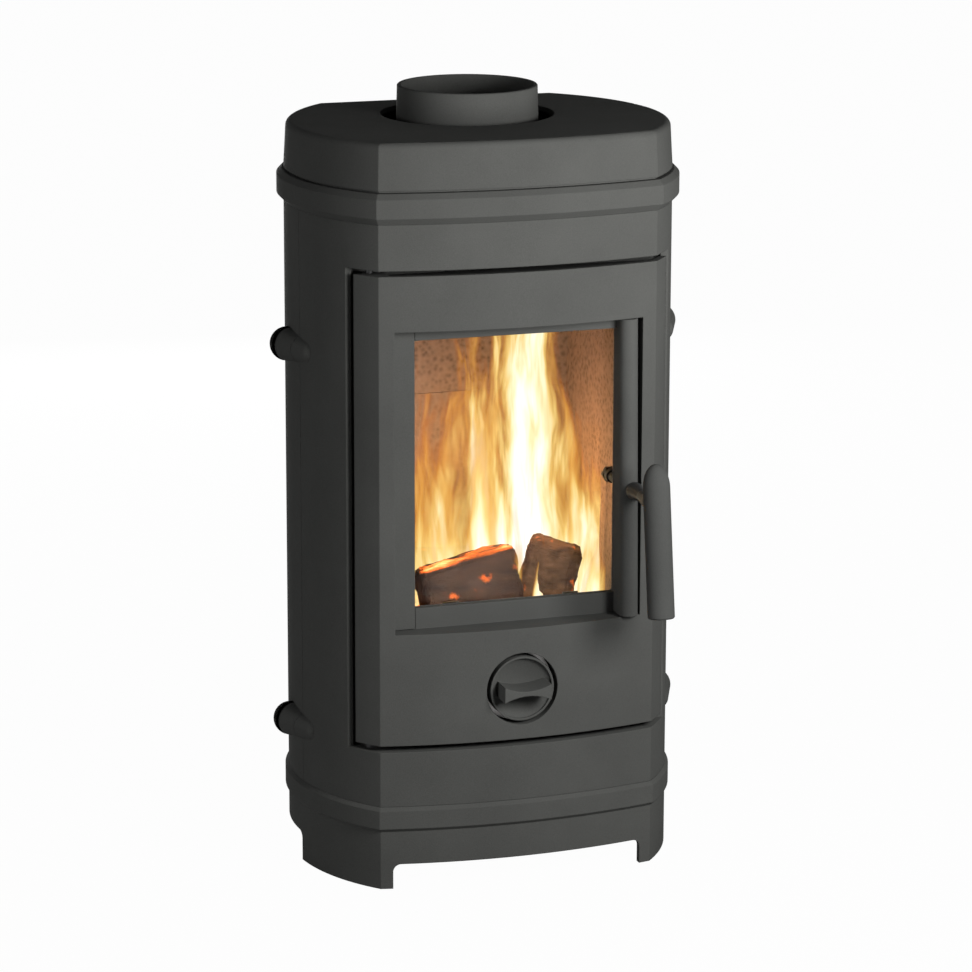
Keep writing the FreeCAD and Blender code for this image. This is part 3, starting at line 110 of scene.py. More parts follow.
class Finish:
    """A small builder for one procedural material."""

    def __init__(self, name):
        self.material = bpy.data.materials.new(name)
        self.material.use_nodes = True
        self.tree = self.material.node_tree
        self.shader = self.tree.nodes["Principled BSDF"]
        self.output = self.tree.nodes["Material Output"]
        self.place = self.add("ShaderNodeTexCoord").outputs["Object"]

    def add(self, kind, **settings):
        """Add a node and set its options."""
        node = self.tree.nodes.new(kind)
        for name, setting in settings.items():
            setattr(node, name, setting)
        return node

    def link(self, source, target):
        """Join an output to an input."""
        self.tree.links.new(source, target)

    def feed(self, socket, what):
        """Set a socket to a number or colour, or join it to another node's output."""
        if isinstance(what, bpy.types.NodeSocket):
            self.link(what, socket)
        else:
            socket.default_value = what

    def stretched(self, scale):
        """Object coordinates, scaled along each axis."""
        mapping = self.add("ShaderNodeMapping")
        self.link(self.place, mapping.inputs["Vector"])
        mapping.inputs["Scale"].default_value = scale
        return mapping.outputs["Vector"]

    def noise(self, scale, detail=4.0, roughness=0.55, place=None, distortion=0.0):
        """Soft random patches."""
        node = self.add("ShaderNodeTexNoise")
        self.link(place or self.place, node.inputs["Vector"])
        node.inputs["Scale"].default_value = scale
        node.inputs["Detail"].default_value = detail
        node.inputs["Roughness"].default_value = roughness
        node.inputs["Distortion"].default_value = distortion
        return node.outputs["Fac"]

    def cells(self, scale, feature="F1"):
        """Distances in a pattern of random cells."""
        node = self.add("ShaderNodeTexVoronoi", feature=feature)
        self.link(self.place, node.inputs["Vector"])
        node.inputs["Scale"].default_value = scale
        return node.outputs["Distance"]

    def math(self, operation, first, second):
        """One sum of two outputs or numbers."""
        node = self.add("ShaderNodeMath", operation=operation)
        self.feed(node.inputs[0], first)
        self.feed(node.inputs[1], second)
        return node.outputs["Value"]

    def spread(self, factor, low, high, to_low=0.0, to_high=1.0):
        """Carry one range of values over to another."""
        node = self.add("ShaderNodeMapRange")
        self.link(factor, node.inputs["Value"])
        for name, number in zip(("From Min", "From Max", "To Min", "To Max"), (low, high, to_low, to_high)):
            node.inputs[name].default_value = number
        return node.outputs["Result"]

    def ramp(self, factor, *stops):
        """Turn a value into a colour, by stops of position and colour."""
        node = self.add("ShaderNodeValToRGB")
        self.link(factor, node.inputs["Fac"])
        elements = node.color_ramp.elements
        while len(elements) < len(stops):
            elements.new(1.0)
        for element, (position, colour) in zip(elements, stops):
            element.position = position
            element.color = (*colour, 1.0)
        return node.outputs["Color"]

    def bump(self, height, strength, distance, normal=None):
        """A normal that follows a pattern of heights."""
        node = self.add("ShaderNodeBump")
        self.link(height, node.inputs["Height"])
        node.inputs["Strength"].default_value = strength
        node.inputs["Distance"].default_value = distance
        if normal is not None:
            self.link(normal, node.inputs["Normal"])
        return node.outputs["Normal"]

    def soft_edge(self, radius):
        """A normal that rounds the edges a little, as a casting's edges are."""
        node = self.add("ShaderNodeBevel", samples=6)
        node.inputs["Radius"].default_value = radius
        return node.outputs["Normal"]

    def use(self, **sockets):
        """Fill the shader's sockets and give back the finished material."""
        for name, what in sockets.items():
            self.feed(self.shader.inputs[name.replace("_", " ").title()], what)
        return self.material


def shade(colour, factor):
    """A colour made lighter or darker."""
    return tuple(min(1.0, part * factor) for part in colour)


def cast_paint(name, colour, grain=1.0, edge=0.0016):
    """Matte stove paint over the fine grain of sand-cast iron."""
    finish = Finish(name)
    fine = finish.noise(900.0, detail=3.0, roughness=0.6)
    broad = finish.noise(9.0, detail=5.0)
    mix = finish.math("ADD", finish.math("MULTIPLY", fine, 0.55), finish.math("MULTIPLY", broad, 0.45))
    tint = finish.ramp(mix, (0.3, shade(colour, 0.82)), (0.5, colour), (0.7, shade(colour, 1.18)))
    rough = finish.spread(finish.noise(340.0, detail=3.0), 0.3, 0.7, 0.8, 0.92)
    rounded = finish.soft_edge(edge)
    swell = finish.bump(finish.noise(26.0, detail=2.0), 0.1, 0.002, rounded)
    normal = finish.bump(fine, 0.22 * grain, 0.0005, swell)
    finish.shader.inputs["Specular IOR Level"].default_value = 0.01
    return finish.use(base_color=tint, roughness=rough, normal=normal)


def machined_steel(name, colour, metallic, low, high):
    """Turned or rolled steel with fine marks."""
    finish = Finish(name)
    marks = finish.noise(240.0, detail=4.0, place=finish.stretched((1.0, 6.0, 1.0)))
    tint = finish.ramp(marks, (0.3, shade(colour, 0.75)), (0.7, shade(colour, 1.15)))
    rough = finish.spread(marks, 0.3, 0.7, low, high)
    normal = finish.bump(marks, 0.12, 0.0003, finish.soft_edge(0.0006))
    return finish.use(base_color=tint, roughness=rough, metallic=metallic, normal=normal)


def scorched_iron(name, colour):
    """Bare cast iron inside the fire chamber, with soot and rust-brown scale."""
    finish = Finish(name)
    patches = finish.noise(22.0, detail=6.0, roughness=0.65)
    tint = finish.ramp(patches, (0.32, shade(colour, 0.4)), (0.5, colour), (0.68, (0.1, 0.066, 0.045)))
    normal = finish.bump(finish.noise(420.0, detail=4.0), 0.4, 0.0006, finish.soft_edge(0.001))
    return finish.use(base_color=tint, roughness=0.82, normal=normal)


def lining_board(name, colour):
    """Pressed vermiculite board: flaky and buff, with patches of soot."""
    finish = Finish(name)
    flakes = finish.cells(170.0)
    smoke = finish.noise(7.0, detail=5.0)
    mix = finish.math("ADD", finish.math("MULTIPLY", flakes, 0.45), finish.math("MULTIPLY", smoke, 0.6))
    tint = finish.ramp(mix, (0.28, shade(colour, 0.45)), (0.5, colour), (0.78, shade(colour, 1.25)))
    normal = finish.bump(flakes, 0.35, 0.0012)
    return finish.use(base_color=tint, roughness=0.92, normal=normal)


def pan_steel(name, colour):
    """Folded sheet steel with a dull black coat and ash dust."""
    finish = Finish(name)
    dust = finish.noise(14.0, detail=6.0, roughness=0.7)
    tint = finish.ramp(dust, (0.4, colour), (0.62, shade(colour, 1.5)), (0.8, (0.2, 0.195, 0.19)))
    rough = finish.spread(dust, 0.3, 0.7, 0.42, 0.7)
    normal = finish.bump(finish.noise(300.0), 0.12, 0.0003, finish.soft_edge(0.0008))
    return finish.use(base_color=tint, roughness=rough, metallic=0.4, normal=normal)


def stove_glass(name):
    """Clear heat-proof glass with a faint haze."""
    finish = Finish(name)
    haze = finish.spread(finish.noise(6.0, detail=5.0), 0.35, 0.75, 0.0, 0.012)
    finish.shader.inputs["Transmission Weight"].default_value = 1.0
    finish.shader.inputs["IOR"].default_value = 1.16
    return finish.use(base_color=(1.0, 0.99, 0.97, 1.0), roughness=haze)


def seal_rope(name, colour):
    """Knitted glass-fibre rope."""
    finish = Finish(name)
    knit = finish.cells(520.0)
    tint = finish.ramp(knit, (0.1, shade(colour, 1.5)), (0.5, colour), (0.9, shade(colour, 0.4)))
    finish.shader.inputs["Sheen Weight"].default_value = 0.2
    return finish.use(base_color=tint, roughness=0.9, normal=finish.bump(knit, 0.7, 0.0012))


def glowing_log(name, bark, top, slope, heat):
    """Split wood, dark on its face, that glows along its upper edge and in a few spots."""
    finish = Finish(name)
    along = finish.noise(70.0, detail=7.0, roughness=0.7, place=finish.stretched((0.3, 1.0, 1.0)))
    split = finish.add("ShaderNodeSeparateXYZ")
    finish.link(finish.place, split.inputs["Vector"])
    level = finish.math("SUBTRACT", split.outputs["Z"], finish.math("MULTIPLY", split.outputs["X"], slope))
    tint = finish.ramp(along, (0.32, shade(bark, 0.4)), (0.5, bark), (0.7, shade(bark, 1.7)))
    rim = finish.spread(finish.math("ADD", level, finish.math("MULTIPLY", along, 0.014)), top, top + 0.006)
    spots = finish.spread(finish.noise(48.0, detail=4.0), 0.64, 0.74, 0.0, 0.3)
    hot = finish.math("MAXIMUM", rim, spots)
    finish.shader.inputs["Emission Strength"].default_value = heat
    return finish.use(base_color=tint, roughness=0.88, normal=finish.bump(along, 0.8, 0.003),
                      emission_color=finish.ramp(hot, (0.0, (0.0, 0.0, 0.0)), (0.45, (0.7, 0.12, 0.01)),
                                                 (1.0, (1.0, 0.6, 0.2))))


def ember_glow(name):
    """Grey ash over coals that glow orange between the lumps."""
    finish = Finish(name)
    lumps = finish.cells(110.0, feature="DISTANCE_TO_EDGE")
    patch = finish.noise(32.0, detail=5.0)
    tint = finish.ramp(patch, (0.35, (0.02, 0.017, 0.015)), (0.6, (0.1, 0.09, 0.085)),
                       (0.75, (0.3, 0.28, 0.26)))
    heat = finish.math("MULTIPLY", finish.spread(lumps, 0.0, 0.22, 1.0, 0.1), finish.spread(patch, 0.3, 0.65))
    finish.shader.inputs["Emission Strength"].default_value = 3.0
    return finish.use(base_color=tint, roughness=0.95, normal=finish.bump(lumps, 0.6, 0.004),
                      emission_color=finish.ramp(heat, (0.12, (0.0, 0.0, 0.0)), (0.4, (0.8, 0.11, 0.006)),
                                                 (0.85, (1.0, 0.55, 0.14))))


def flame_finish(name, seed, tongues, foot, top):
    """Flame tongues on a sheet: white at the heart, orange at the torn tips, clear between."""
    finish = Finish(name)
    split = finish.add("ShaderNodeSeparateXYZ")
    finish.link(finish.place, split.inputs["Vector"])
    level = split.outputs["Z"]
    high = finish.spread(level, foot, top)
    sway = finish.noise(9.0, detail=3.0, place=finish.stretched((1.0, 1.0, 0.5)))
    push = finish.math("MULTIPLY", finish.math("SUBTRACT", sway, 0.5), 0.07)
    drift = finish.math("MULTIPLY", push, finish.math("ADD", high, 0.2))
    across = finish.math("ADD", split.outputs["X"], drift)
    spot = finish.add("ShaderNodeCombineXYZ")
    finish.link(finish.math("MULTIPLY", across, 44.0), spot.inputs["X"])
    spot.inputs["Y"].default_value = seed
    finish.link(finish.math("MULTIPLY", level, 6.5), spot.inputs["Z"])
    streaks = finish.noise(1.0, detail=3.5, roughness=0.55, place=spot.outputs["Vector"], distortion=0.3)
    torn = finish.math("MULTIPLY", finish.math("SUBTRACT", streaks, 0.5), 1.7)
    fuel = None
    for middle, half, low, tip, lean, glow in tongues:
        rise = finish.spread(level, low, tip)
        centre = finish.math("ADD", finish.math("MULTIPLY", rise, lean), middle)
        off = finish.math("DIVIDE", finish.math("SUBTRACT", across, centre), half)
        hump = finish.math("SUBTRACT", finish.math("ADD", torn, 0.95), finish.math("MULTIPLY", off, off))
        lick = finish.math("MULTIPLY", finish.math("SUBTRACT", hump, rise), glow)
        fuel = lick if fuel is None else finish.math("MAXIMUM", fuel, lick)
    heat = finish.math("SUBTRACT", fuel, finish.math("MULTIPLY", high, 0.12))
    colour = finish.ramp(heat, (0.0, (0.8, 0.22, 0.03)), (0.15, (1.0, 0.45, 0.07)), (0.36, (1.0, 0.68, 0.2)),
                         (0.6, (1.0, 0.86, 0.5)), (0.88, (1.0, 0.98, 0.88)))
    strength = finish.spread(heat, 0.0, 0.7, 0.75, 1.35)
    veil = finish.spread(fuel, 0.0, 0.5, 0.0, 0.86)
    fire = finish.add("ShaderNodeEmission")
    finish.link(colour, fire.inputs["Color"])
    finish.link(strength, fire.inputs["Strength"])
    clear = finish.add("ShaderNodeBsdfTransparent")
    blend = finish.add("ShaderNodeMixShader")
    finish.link(veil, blend.inputs["Fac"])
    finish.link(clear.outputs["BSDF"], blend.inputs[1])
    finish.link(fire.outputs["Emission"], blend.inputs[2])
    finish.tree.nodes.remove(finish.shader)
    finish.link(blend.outputs["Shader"], finish.output.inputs["Surface"])
    return finish.material


def colour_setting(label, note, default):
    """A colour that can be picked in the panel."""
    return bpy.props.FloatVectorProperty(name=label, description=note, subtype="COLOR", size=3,
                                         default=default, min=0, max=1)


class StoveColours(bpy.types.PropertyGroup):
    """Colours of the stove's finishes."""

    paint: colour_setting("Stove Paint", "Matte paint of the castings", (0.072, 0.073, 0.07))
    handle: colour_setting("Handle Paint", "Paint of the handle's grip", (0.06, 0.061, 0.059))
    # Partly painted shade: this tone is darker than the steel's own finish, so that the latch spindle reads
    # as shaded between the column and the handle
    dark_steel: colour_setting("Black Steel", "Blackened spindle, pins and bolts", (0.018, 0.018, 0.018))
    steel: colour_setting("Steel", "Plain steel of the clips, screws and air discs", (0.42, 0.41, 0.4))
    bare_iron: colour_setting("Bare Iron", "Grate, guard and hearth plates", (0.055, 0.05, 0.046))
    lining: colour_setting("Lining", "Boards round the fire", (0.25, 0.163, 0.112))
    pan: colour_setting("Ash Pan", "Sheet steel of the ash pan", (0.05, 0.05, 0.05))
    rope: colour_setting("Rope", "Rope seals of the door and glass", (0.09, 0.09, 0.085))
    bark: colour_setting("Bark", "Dark wood of the long logs", (0.075, 0.036, 0.02))
    split_wood: colour_setting("Split Wood", "Paler wood of the short log", (0.18, 0.09, 0.042))


class StoveSizes(bpy.types.PropertyGroup):
    """Sizes of the pieces that are added to the castings."""

    fire_depth: bpy.props.FloatProperty(name="Fire Depth", description="How far back the fire lies",
                                        unit="LENGTH", default=0.038)
    fire_foot: bpy.props.FloatProperty(name="Fire Foot", description="Height at which the fire lies",
                                       unit="LENGTH", default=0.264)
    log_length: bpy.props.FloatProperty(name="Log Length", description="Length of the long log",
                                        unit="LENGTH", default=0.116, min=0.03)
    log_height: bpy.props.FloatProperty(name="Log Height", description="Height of the long log's split face",
                                        unit="LENGTH", default=0.066, min=0.01)
    flame_top: bpy.props.FloatProperty(name="Flame Top", description="Height of the upper edge of the flames",
                                       unit="LENGTH", default=0.644, min=0.3)
    floor_half: bpy.props.FloatProperty(name="Floor", description="Half the width of the studio floor",
                                        unit="LENGTH", default=40.0, min=2.0)
    camera_place: bpy.props.FloatVectorProperty(name="Camera", description="Where the camera stands",
                                                subtype="XYZ", size=3, unit="LENGTH",
                                                default=(-1.40703, -4.31681, 1.5573))
    camera_tilt: bpy.props.FloatProperty(name="Camera Tilt", description="How far the camera looks down",
                                         subtype="ANGLE", default=math.radians(13.896))
    camera_turn: bpy.props.FloatProperty(name="Camera Turn", description="How far it looks to the right",
                                         subtype="ANGLE", default=math.radians(18.0))
    camera_roll: bpy.props.FloatProperty(name="Camera Roll", description="Lean of the camera",
                                         subtype="ANGLE", default=math.radians(0.142))
    camera_lens: bpy.props.FloatProperty(name="Lens", description="Focal length in millimetres",
                                         default=151.68, min=10.0)


def colours():
    """The colours set in the panel."""
    return bpy.context.scene.stove_colours


def sizes():
    """The sizes set in the panel."""
    return bpy.context.scene.stove_sizes


class STOVE_OT_finish_castings(bpy.types.Operator):
    """Give every piece of the loaded stove its finish"""

    bl_idname = "stove.finish_castings"
    bl_label = "Finish Castings"

    def execute(self, context):
        tone = colours()
        finishes = (
            (cast_paint("stove_paint", tuple(tone.paint)), PAINTED),
            (cast_paint("handle_paint", tuple(tone.handle), grain=0.8), ("handle_grip",)),
            (machined_steel("black_steel", tuple(tone.dark_steel), 0.2, 0.4, 0.6), DARK_STEEL),
            (machined_steel("plain_steel", tuple(tone.steel), 1.0, 0.28, 0.46), BRIGHT_STEEL),
            (scorched_iron("bare_iron", tuple(tone.bare_iron)), BARE_IRON),
            (lining_board("lining_board", tuple(tone.lining)), LININGS),
            (pan_steel("pan_steel", tuple(tone.pan)), PAN_SHEET),
            (stove_glass("stove_glass"), ("glass_pane",)),
            (seal_rope("rope_core", tuple(tone.rope)), ("door_seal", "glass_seal")),
        )
        for material, names in finishes:
            for name in names:
                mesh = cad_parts[name].data
                mesh.materials.clear()
                mesh.materials.append(material)
        return {"FINISHED"}


def rope_ring(name, node, radius_across, flatten, corner, finish):
    """A closed rope laid round the frame that its plain ring of the model marks out."""
    low, high = (Vector(end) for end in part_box(node))
    middle = (low + high) / 2
    clear_selection()
    bpy.ops.mesh.primitive_plane_add(size=1.0, location=middle, rotation=(math.radians(90), 0, 0))
    piece = new_piece(name)
    piece.scale = (high.x - low.x - 2 * radius_across, high.z - low.z - 2 * radius_across, 1.0)
    bpy.ops.object.transform_apply(location=False, rotation=True, scale=True)
    bpy.ops.object.mode_set(mode="EDIT")
    bpy.ops.mesh.select_all(action="SELECT")
    bpy.ops.mesh.delete(type="ONLY_FACE")
    bpy.ops.mesh.select_all(action="SELECT")
    bpy.ops.mesh.bevel(offset=corner, segments=8, affect="VERTICES")
    bpy.ops.object.mode_set(mode="OBJECT")
    bpy.ops.object.convert(target="CURVE")
    piece.data.bevel_depth = radius_across
    piece.data.bevel_resolution = 4
    bpy.ops.object.convert(target="MESH")
    bpy.ops.object.transform_apply(location=True, rotation=True, scale=True)
    bpy.ops.object.mode_set(mode="EDIT")
    bpy.ops.mesh.select_all(action="SELECT")
    bpy.ops.mesh.remove_doubles(threshold=0.00001)
    bpy.ops.transform.resize(value=(1.0, flatten, 1.0), center_override=middle)
    bpy.ops.mesh.normals_make_consistent(inside=False)
    bpy.ops.object.mode_set(mode="OBJECT")
    bpy.ops.object.shade_smooth()
    settle(piece, DOOR_BODY, finish)
    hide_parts(node)
    return piece


class STOVE_OT_rope_seals(bpy.types.Operator):
    """Lay the round rope of the door and the flat tape of the glass"""

    bl_idname = "stove.rope_seals"
    bl_label = "Rope Seals"

    def execute(self, context):
        finish = bpy.data.materials["rope_core"]
        rope_ring("door_rope", "door_seal", radius_across=0.004, flatten=1.2, corner=0.012, finish=finish)
        rope_ring("glass_tape", "glass_seal", radius_across=0.003, flatten=0.5, corner=0.006, finish=finish)
        return {"FINISHED"}


def split_log(name, length, depth, height, place, turn, seed, finish):
    """A split log: a rough billet with worn corners and broken ends."""
    clear_selection()
    bpy.ops.mesh.primitive_cube_add(size=1.0)
    piece = new_piece(name)
    piece.scale = (length, depth, height)
    bpy.ops.object.transform_apply(location=True, rotation=True, scale=True)
    bpy.ops.object.mode_set(mode="EDIT")
    bpy.ops.mesh.select_all(action="SELECT")
    bpy.ops.mesh.bevel(offset=height * 0.12, segments=2)
    bpy.ops.mesh.select_all(action="SELECT")
    bpy.ops.mesh.subdivide(number_cuts=9)
    bpy.ops.transform.vertex_random(offset=height * 0.012, uniform=0.6, normal=0.6, seed=seed)
    bpy.ops.object.mode_set(mode="OBJECT")
    clouds = bpy.data.textures.new(name + "_skin", "CLOUDS")
    clouds.noise_scale = height * 0.4
    clouds.noise_depth = 3
    rough = piece.modifiers.new("skin", "DISPLACE")
    rough.texture = clouds
    rough.strength = height * 0.16
    rough.mid_level = 0.5
    apply_modifiers(piece)
    piece.rotation_euler = turn
    piece.location = place
    bpy.ops.object.shade_smooth_by_angle(angle=math.radians(38))
    return settle(piece, FIXED_BODY, finish)


# How strongly the logs glow where they burn
LOG_HEAT = 2.0


class STOVE_OT_logs(bpy.types.Operator):
    """Build the split logs that lie on the grate"""

    bl_idname = "stove.logs"
    bl_label = "Logs"

    def execute(self, context):
        size = sizes()
        tone = colours()
        foot = size.fire_foot
        length = size.log_length
        height = size.log_height
        slope = math.radians(11)
        dark = glowing_log("log_left_wood", tuple(tone.bark), top=foot + 0.097, slope=math.tan(slope),
                           heat=LOG_HEAT)
        pale = glowing_log("log_right_wood", tuple(tone.split_wood), top=foot + 0.103, slope=0.1,
                           heat=LOG_HEAT)
        split_log("log_left", length=length, depth=0.04, height=height, place=(-0.022, 0.008, foot + 0.054),
                  turn=(math.radians(-8), -slope, math.radians(3)), seed=3, finish=dark)
        split_log("log_right", length=0.062, depth=0.042, height=0.085, place=(0.074, 0.01, foot + 0.056),
                  turn=(math.radians(6), math.radians(14), math.radians(-24)), seed=8, finish=pale)
        split_log("log_back", length=length * 1.5, depth=0.05, height=height,
                  place=(0.02, 0.094, foot + 0.04),
                  turn=(0.0, math.radians(3), math.radians(-5)), seed=5, finish=dark)
        return {"FINISHED"}


# The ember bed's half sizes, how far it lies behind the fire's middle, and its lumps
BED_HALF = (0.115, 0.065, 0.03)
BED_BEHIND = 0.012
BED_LIFT = 0.004
LUMP_SIZE = 0.012
LUMP_RISE = 0.012

# The loose coals wind outwards and down from the top of the bed
COAL_COUNT = 14
COAL_SIZE = 0.016
COAL_GROWTH = 0.004
COAL_WEAR = 0.0032
COAL_TURN = 2.4
COAL_REACH = 0.035
COAL_STEP = 0.005
COAL_LIFT = 0.034
COAL_FALL = 0.18


class STOVE_OT_embers(bpy.types.Operator):
    """Heap the ember bed and its loose coals on the hearth"""

    bl_idname = "stove.embers"
    bl_label = "Embers"

    def execute(self, context):
        finish = ember_glow("ember_coals")
        middle = sizes().fire_depth + BED_BEHIND
        foot = sizes().fire_foot
        self.heap_bed(middle, foot, finish)
        for index in range(COAL_COUNT):
            self.drop_coal(index, middle, foot, finish)
        return {"FINISHED"}

    def heap_bed(self, middle, foot, finish):
        """A low lumpy heap, flat underneath."""
        clear_selection()
        bpy.ops.mesh.primitive_uv_sphere_add(segments=64, ring_count=32, radius=1.0, location=(0, 0, 0))
        bed = new_piece("ember_bed")
        bed.scale = BED_HALF
        bpy.ops.object.transform_apply(location=True, rotation=True, scale=True)
        bpy.ops.object.mode_set(mode="EDIT")
        bpy.ops.mesh.select_all(action="SELECT")
        bpy.ops.mesh.bisect(plane_co=(0, 0, 0), plane_no=(0, 0, -1), use_fill=True, clear_outer=True)
        bpy.ops.object.mode_set(mode="OBJECT")
        clouds = bpy.data.textures.new("coal_lumps", "CLOUDS")
        clouds.noise_scale = LUMP_SIZE
        clouds.noise_depth = 2
        lumps = bed.modifiers.new("lumps", "DISPLACE")
        lumps.texture = clouds
        lumps.strength = LUMP_RISE
        lumps.mid_level = 0.8
        apply_modifiers(bed)
        bed.location = (0.0, middle, foot + BED_LIFT)
        bpy.ops.object.shade_smooth()
        settle(bed, FIXED_BODY, finish)

    def drop_coal(self, index, middle, foot, finish):
        """One loose broken coal on the heap."""
        angle = index * COAL_TURN
        reach = COAL_REACH + COAL_STEP * index
        clear_selection()
        bpy.ops.mesh.primitive_cube_add(size=COAL_SIZE + COAL_GROWTH * (index % 3))
        coal = new_piece("coal_%02d" % (index + 1))
        bpy.ops.object.mode_set(mode="EDIT")
        bpy.ops.mesh.select_all(action="SELECT")
        bpy.ops.mesh.subdivide(number_cuts=2)
        bpy.ops.transform.vertex_random(offset=COAL_WEAR, uniform=1.0, seed=index + 1)
        bpy.ops.object.mode_set(mode="OBJECT")
        coal.rotation_euler = (angle, angle * 0.7, angle * 1.3)
        coal.location = (math.cos(angle) * reach, middle + math.sin(angle) * reach * 0.5,
                         foot + COAL_LIFT - reach * COAL_FALL)
        bpy.ops.object.shade_smooth_by_angle(angle=math.radians(30))
        settle(coal, FIXED_BODY, finish)


# Half the width of the fire's room, the flames' foot, and how far a sheet reaches past its tongues
FIRE_HALF = 0.14
FLAME_FOOT = 0.268
FLAME_SIDE = 0.03
FLAME_ABOVE = 0.02

# Each sheet of flame: its depth, the seed of its pattern and its tongues.
# Each tongue: its middle, half width, foot and tip, the lean of the tip and the glow.
FLAMES = {
    "flame_back": (0.1, 15.3, ((-0.03, 0.07, 0.18, 0.52, 0.0, 0.9),
                               (0.05, 0.1, 0.2, 0.54, 0.0, 1.0),
                               (0.11, 0.05, 0.2, 0.54, 0.0, 0.9))),
    "flame_left": (0.062, 4.6, ((-0.03, 0.042, 0.22, 0.6, 0.006, 1.05),
                                (0.002, 0.04, 0.22, 0.61, -0.006, 1.1),
                                (-0.066, 0.036, 0.22, 0.52, 0.004, 1.05),
                                (-0.048, 0.042, 0.22, 0.56, 0.0, 1.0),
                                (-0.006, 0.016, 0.3, 0.7, 0.006, 0.6))),
    "flame_main": (0.046, 1.3, ((0.058, 0.068, 0.27, 0.98, 0.0, 1.3),
                                (0.062, 0.1, 0.2, 0.5, 0.0, 1.5),
                                (0.106, 0.042, 0.22, 0.58, 0.0, 1.1),
                                (0.014, 0.044, 0.22, 0.58, 0.0, 1.15))),
    "flame_left_near": (0.03, 21.7, ((-0.07, 0.03, 0.22, 0.47, 0.0, 1.0),
                                     (-0.04, 0.034, 0.22, 0.5, 0.006, 1.0),
                                     (-0.012, 0.036, 0.22, 0.52, 0.0, 1.05))),
    "flame_right": (0.016, 11.9, ((0.126, 0.026, 0.24, 0.53, 0.0, 1.1),
                                  (0.106, 0.018, 0.25, 0.5, 0.0, 1.0),
                                  (0.124, 0.05, 0.2, 0.46, 0.0, 1.5))),
    "flame_front": (-0.006, 8.2, ((0.028, 0.014, 0.27, 0.37, 0.0, 1.0),
                                  (0.058, 0.012, 0.27, 0.36, 0.006, 1.0),
                                  (0.09, 0.016, 0.27, 0.35, -0.006, 1.0),
                                  (0.126, 0.026, 0.22, 0.4, 0.0, 1.2))),
}


def flame_sheet(name, depth, seed, foot, top, tongues):
    """One wavy sheet of flame, wide enough for its tongues."""
    left = max(-FIRE_HALF, min(middle - half for middle, half, *_ in tongues) - FLAME_SIDE)
    right = min(FIRE_HALF, max(middle + half for middle, half, *_ in tongues) + FLAME_SIDE)
    clear_selection()
    bpy.ops.mesh.primitive_grid_add(x_subdivisions=30, y_subdivisions=36, size=1.0,
                                    rotation=(math.radians(90), 0, 0))
    piece = new_piece(name)
    piece.scale = (right - left, top - foot, 1.0)
    bpy.ops.object.transform_apply(location=True, rotation=True, scale=True)
    clouds = bpy.data.textures.new(name + "_sway", "CLOUDS")
    clouds.noise_scale = 0.07
    sway = piece.modifiers.new("sway", "DISPLACE")
    sway.texture = clouds
    sway.texture_coords = "LOCAL"
    sway.strength = 0.012
    sway.direction = "Y"
    apply_modifiers(piece)
    piece.location = ((left + right) / 2, depth, (foot + top) / 2)
    bpy.ops.object.shade_smooth()
    return settle(piece, FIXED_BODY, flame_finish(name + "_glow", seed, tongues, foot, top))


class STOVE_OT_flames(bpy.types.Operator):
    """Raise the sheets of flame over the logs"""

    bl_idname = "stove.flames"
    bl_label = "Flames"

    def execute(self, context):
        for name, (depth, seed, tongues) in FLAMES.items():
            top = min(sizes().flame_top, max(tip for _, _, _, tip, _, _ in tongues) + FLAME_ABOVE)
            flame_sheet(name, depth, seed, FLAME_FOOT, top, tongues)
        return {"FINISHED"}


WHITE = (1.0, 1.0, 1.0)
LAMPS = {
    "key_lamp": {"place": (0.44, -1.15, 0.9), "aim": (0.0, 0.0, 0.8), "width": 0.6, "height": 0.5,
                 "watts": 25.0, "colour": (1.0, 1.0, 0.985)},
    "left_lamp": {"place": (-3.5, -0.9, 0.9), "aim": (0.0, 0.05, 0.45), "width": 1.6, "height": 1.4,
                  "watts": 30.0, "colour": WHITE},
    "rear_lamp": {"place": (0.5, 2.9, 0.55), "aim": (0.0, 0.15, 0.45), "width": 1.4, "height": 0.5,
                  "watts": 60.0, "colour": WHITE},
}

# The light that the fire throws on the boards round it
FIRE_LIGHT_PLACE = (0.03, 0.05, 0.43)
FIRE_LIGHT_WATTS = 1.7
FIRE_LIGHT_COLOUR = (1.0, 0.6, 0.28)
FIRE_LIGHT_RADIUS = 0.05

# The floor's own grey, how much of its look is plain white, and the strength of the light from all round
FLOOR_GREY = (0.3, 0.3, 0.3, 1.0)
FLOOR_WHITE = 0.98
AIR_LIGHT = 0.04

SENSOR_WIDTH = 36.0
FARTHEST_VIEW = 200.0


def lamp(name, place, aim, width, height, watts, colour):
    """A soft rectangular studio lamp."""
    clear_selection()
    bpy.ops.object.light_add(type="AREA", location=place)
    light = bpy.context.active_object
    light.name = name
    light.data.shape = "RECTANGLE"
    light.data.size = width
    light.data.size_y = height
    light.data.energy = watts
    light.data.color = colour
    light.rotation_euler = (Vector(aim) - Vector(place)).to_track_quat("-Z", "Y").to_euler()
    return light


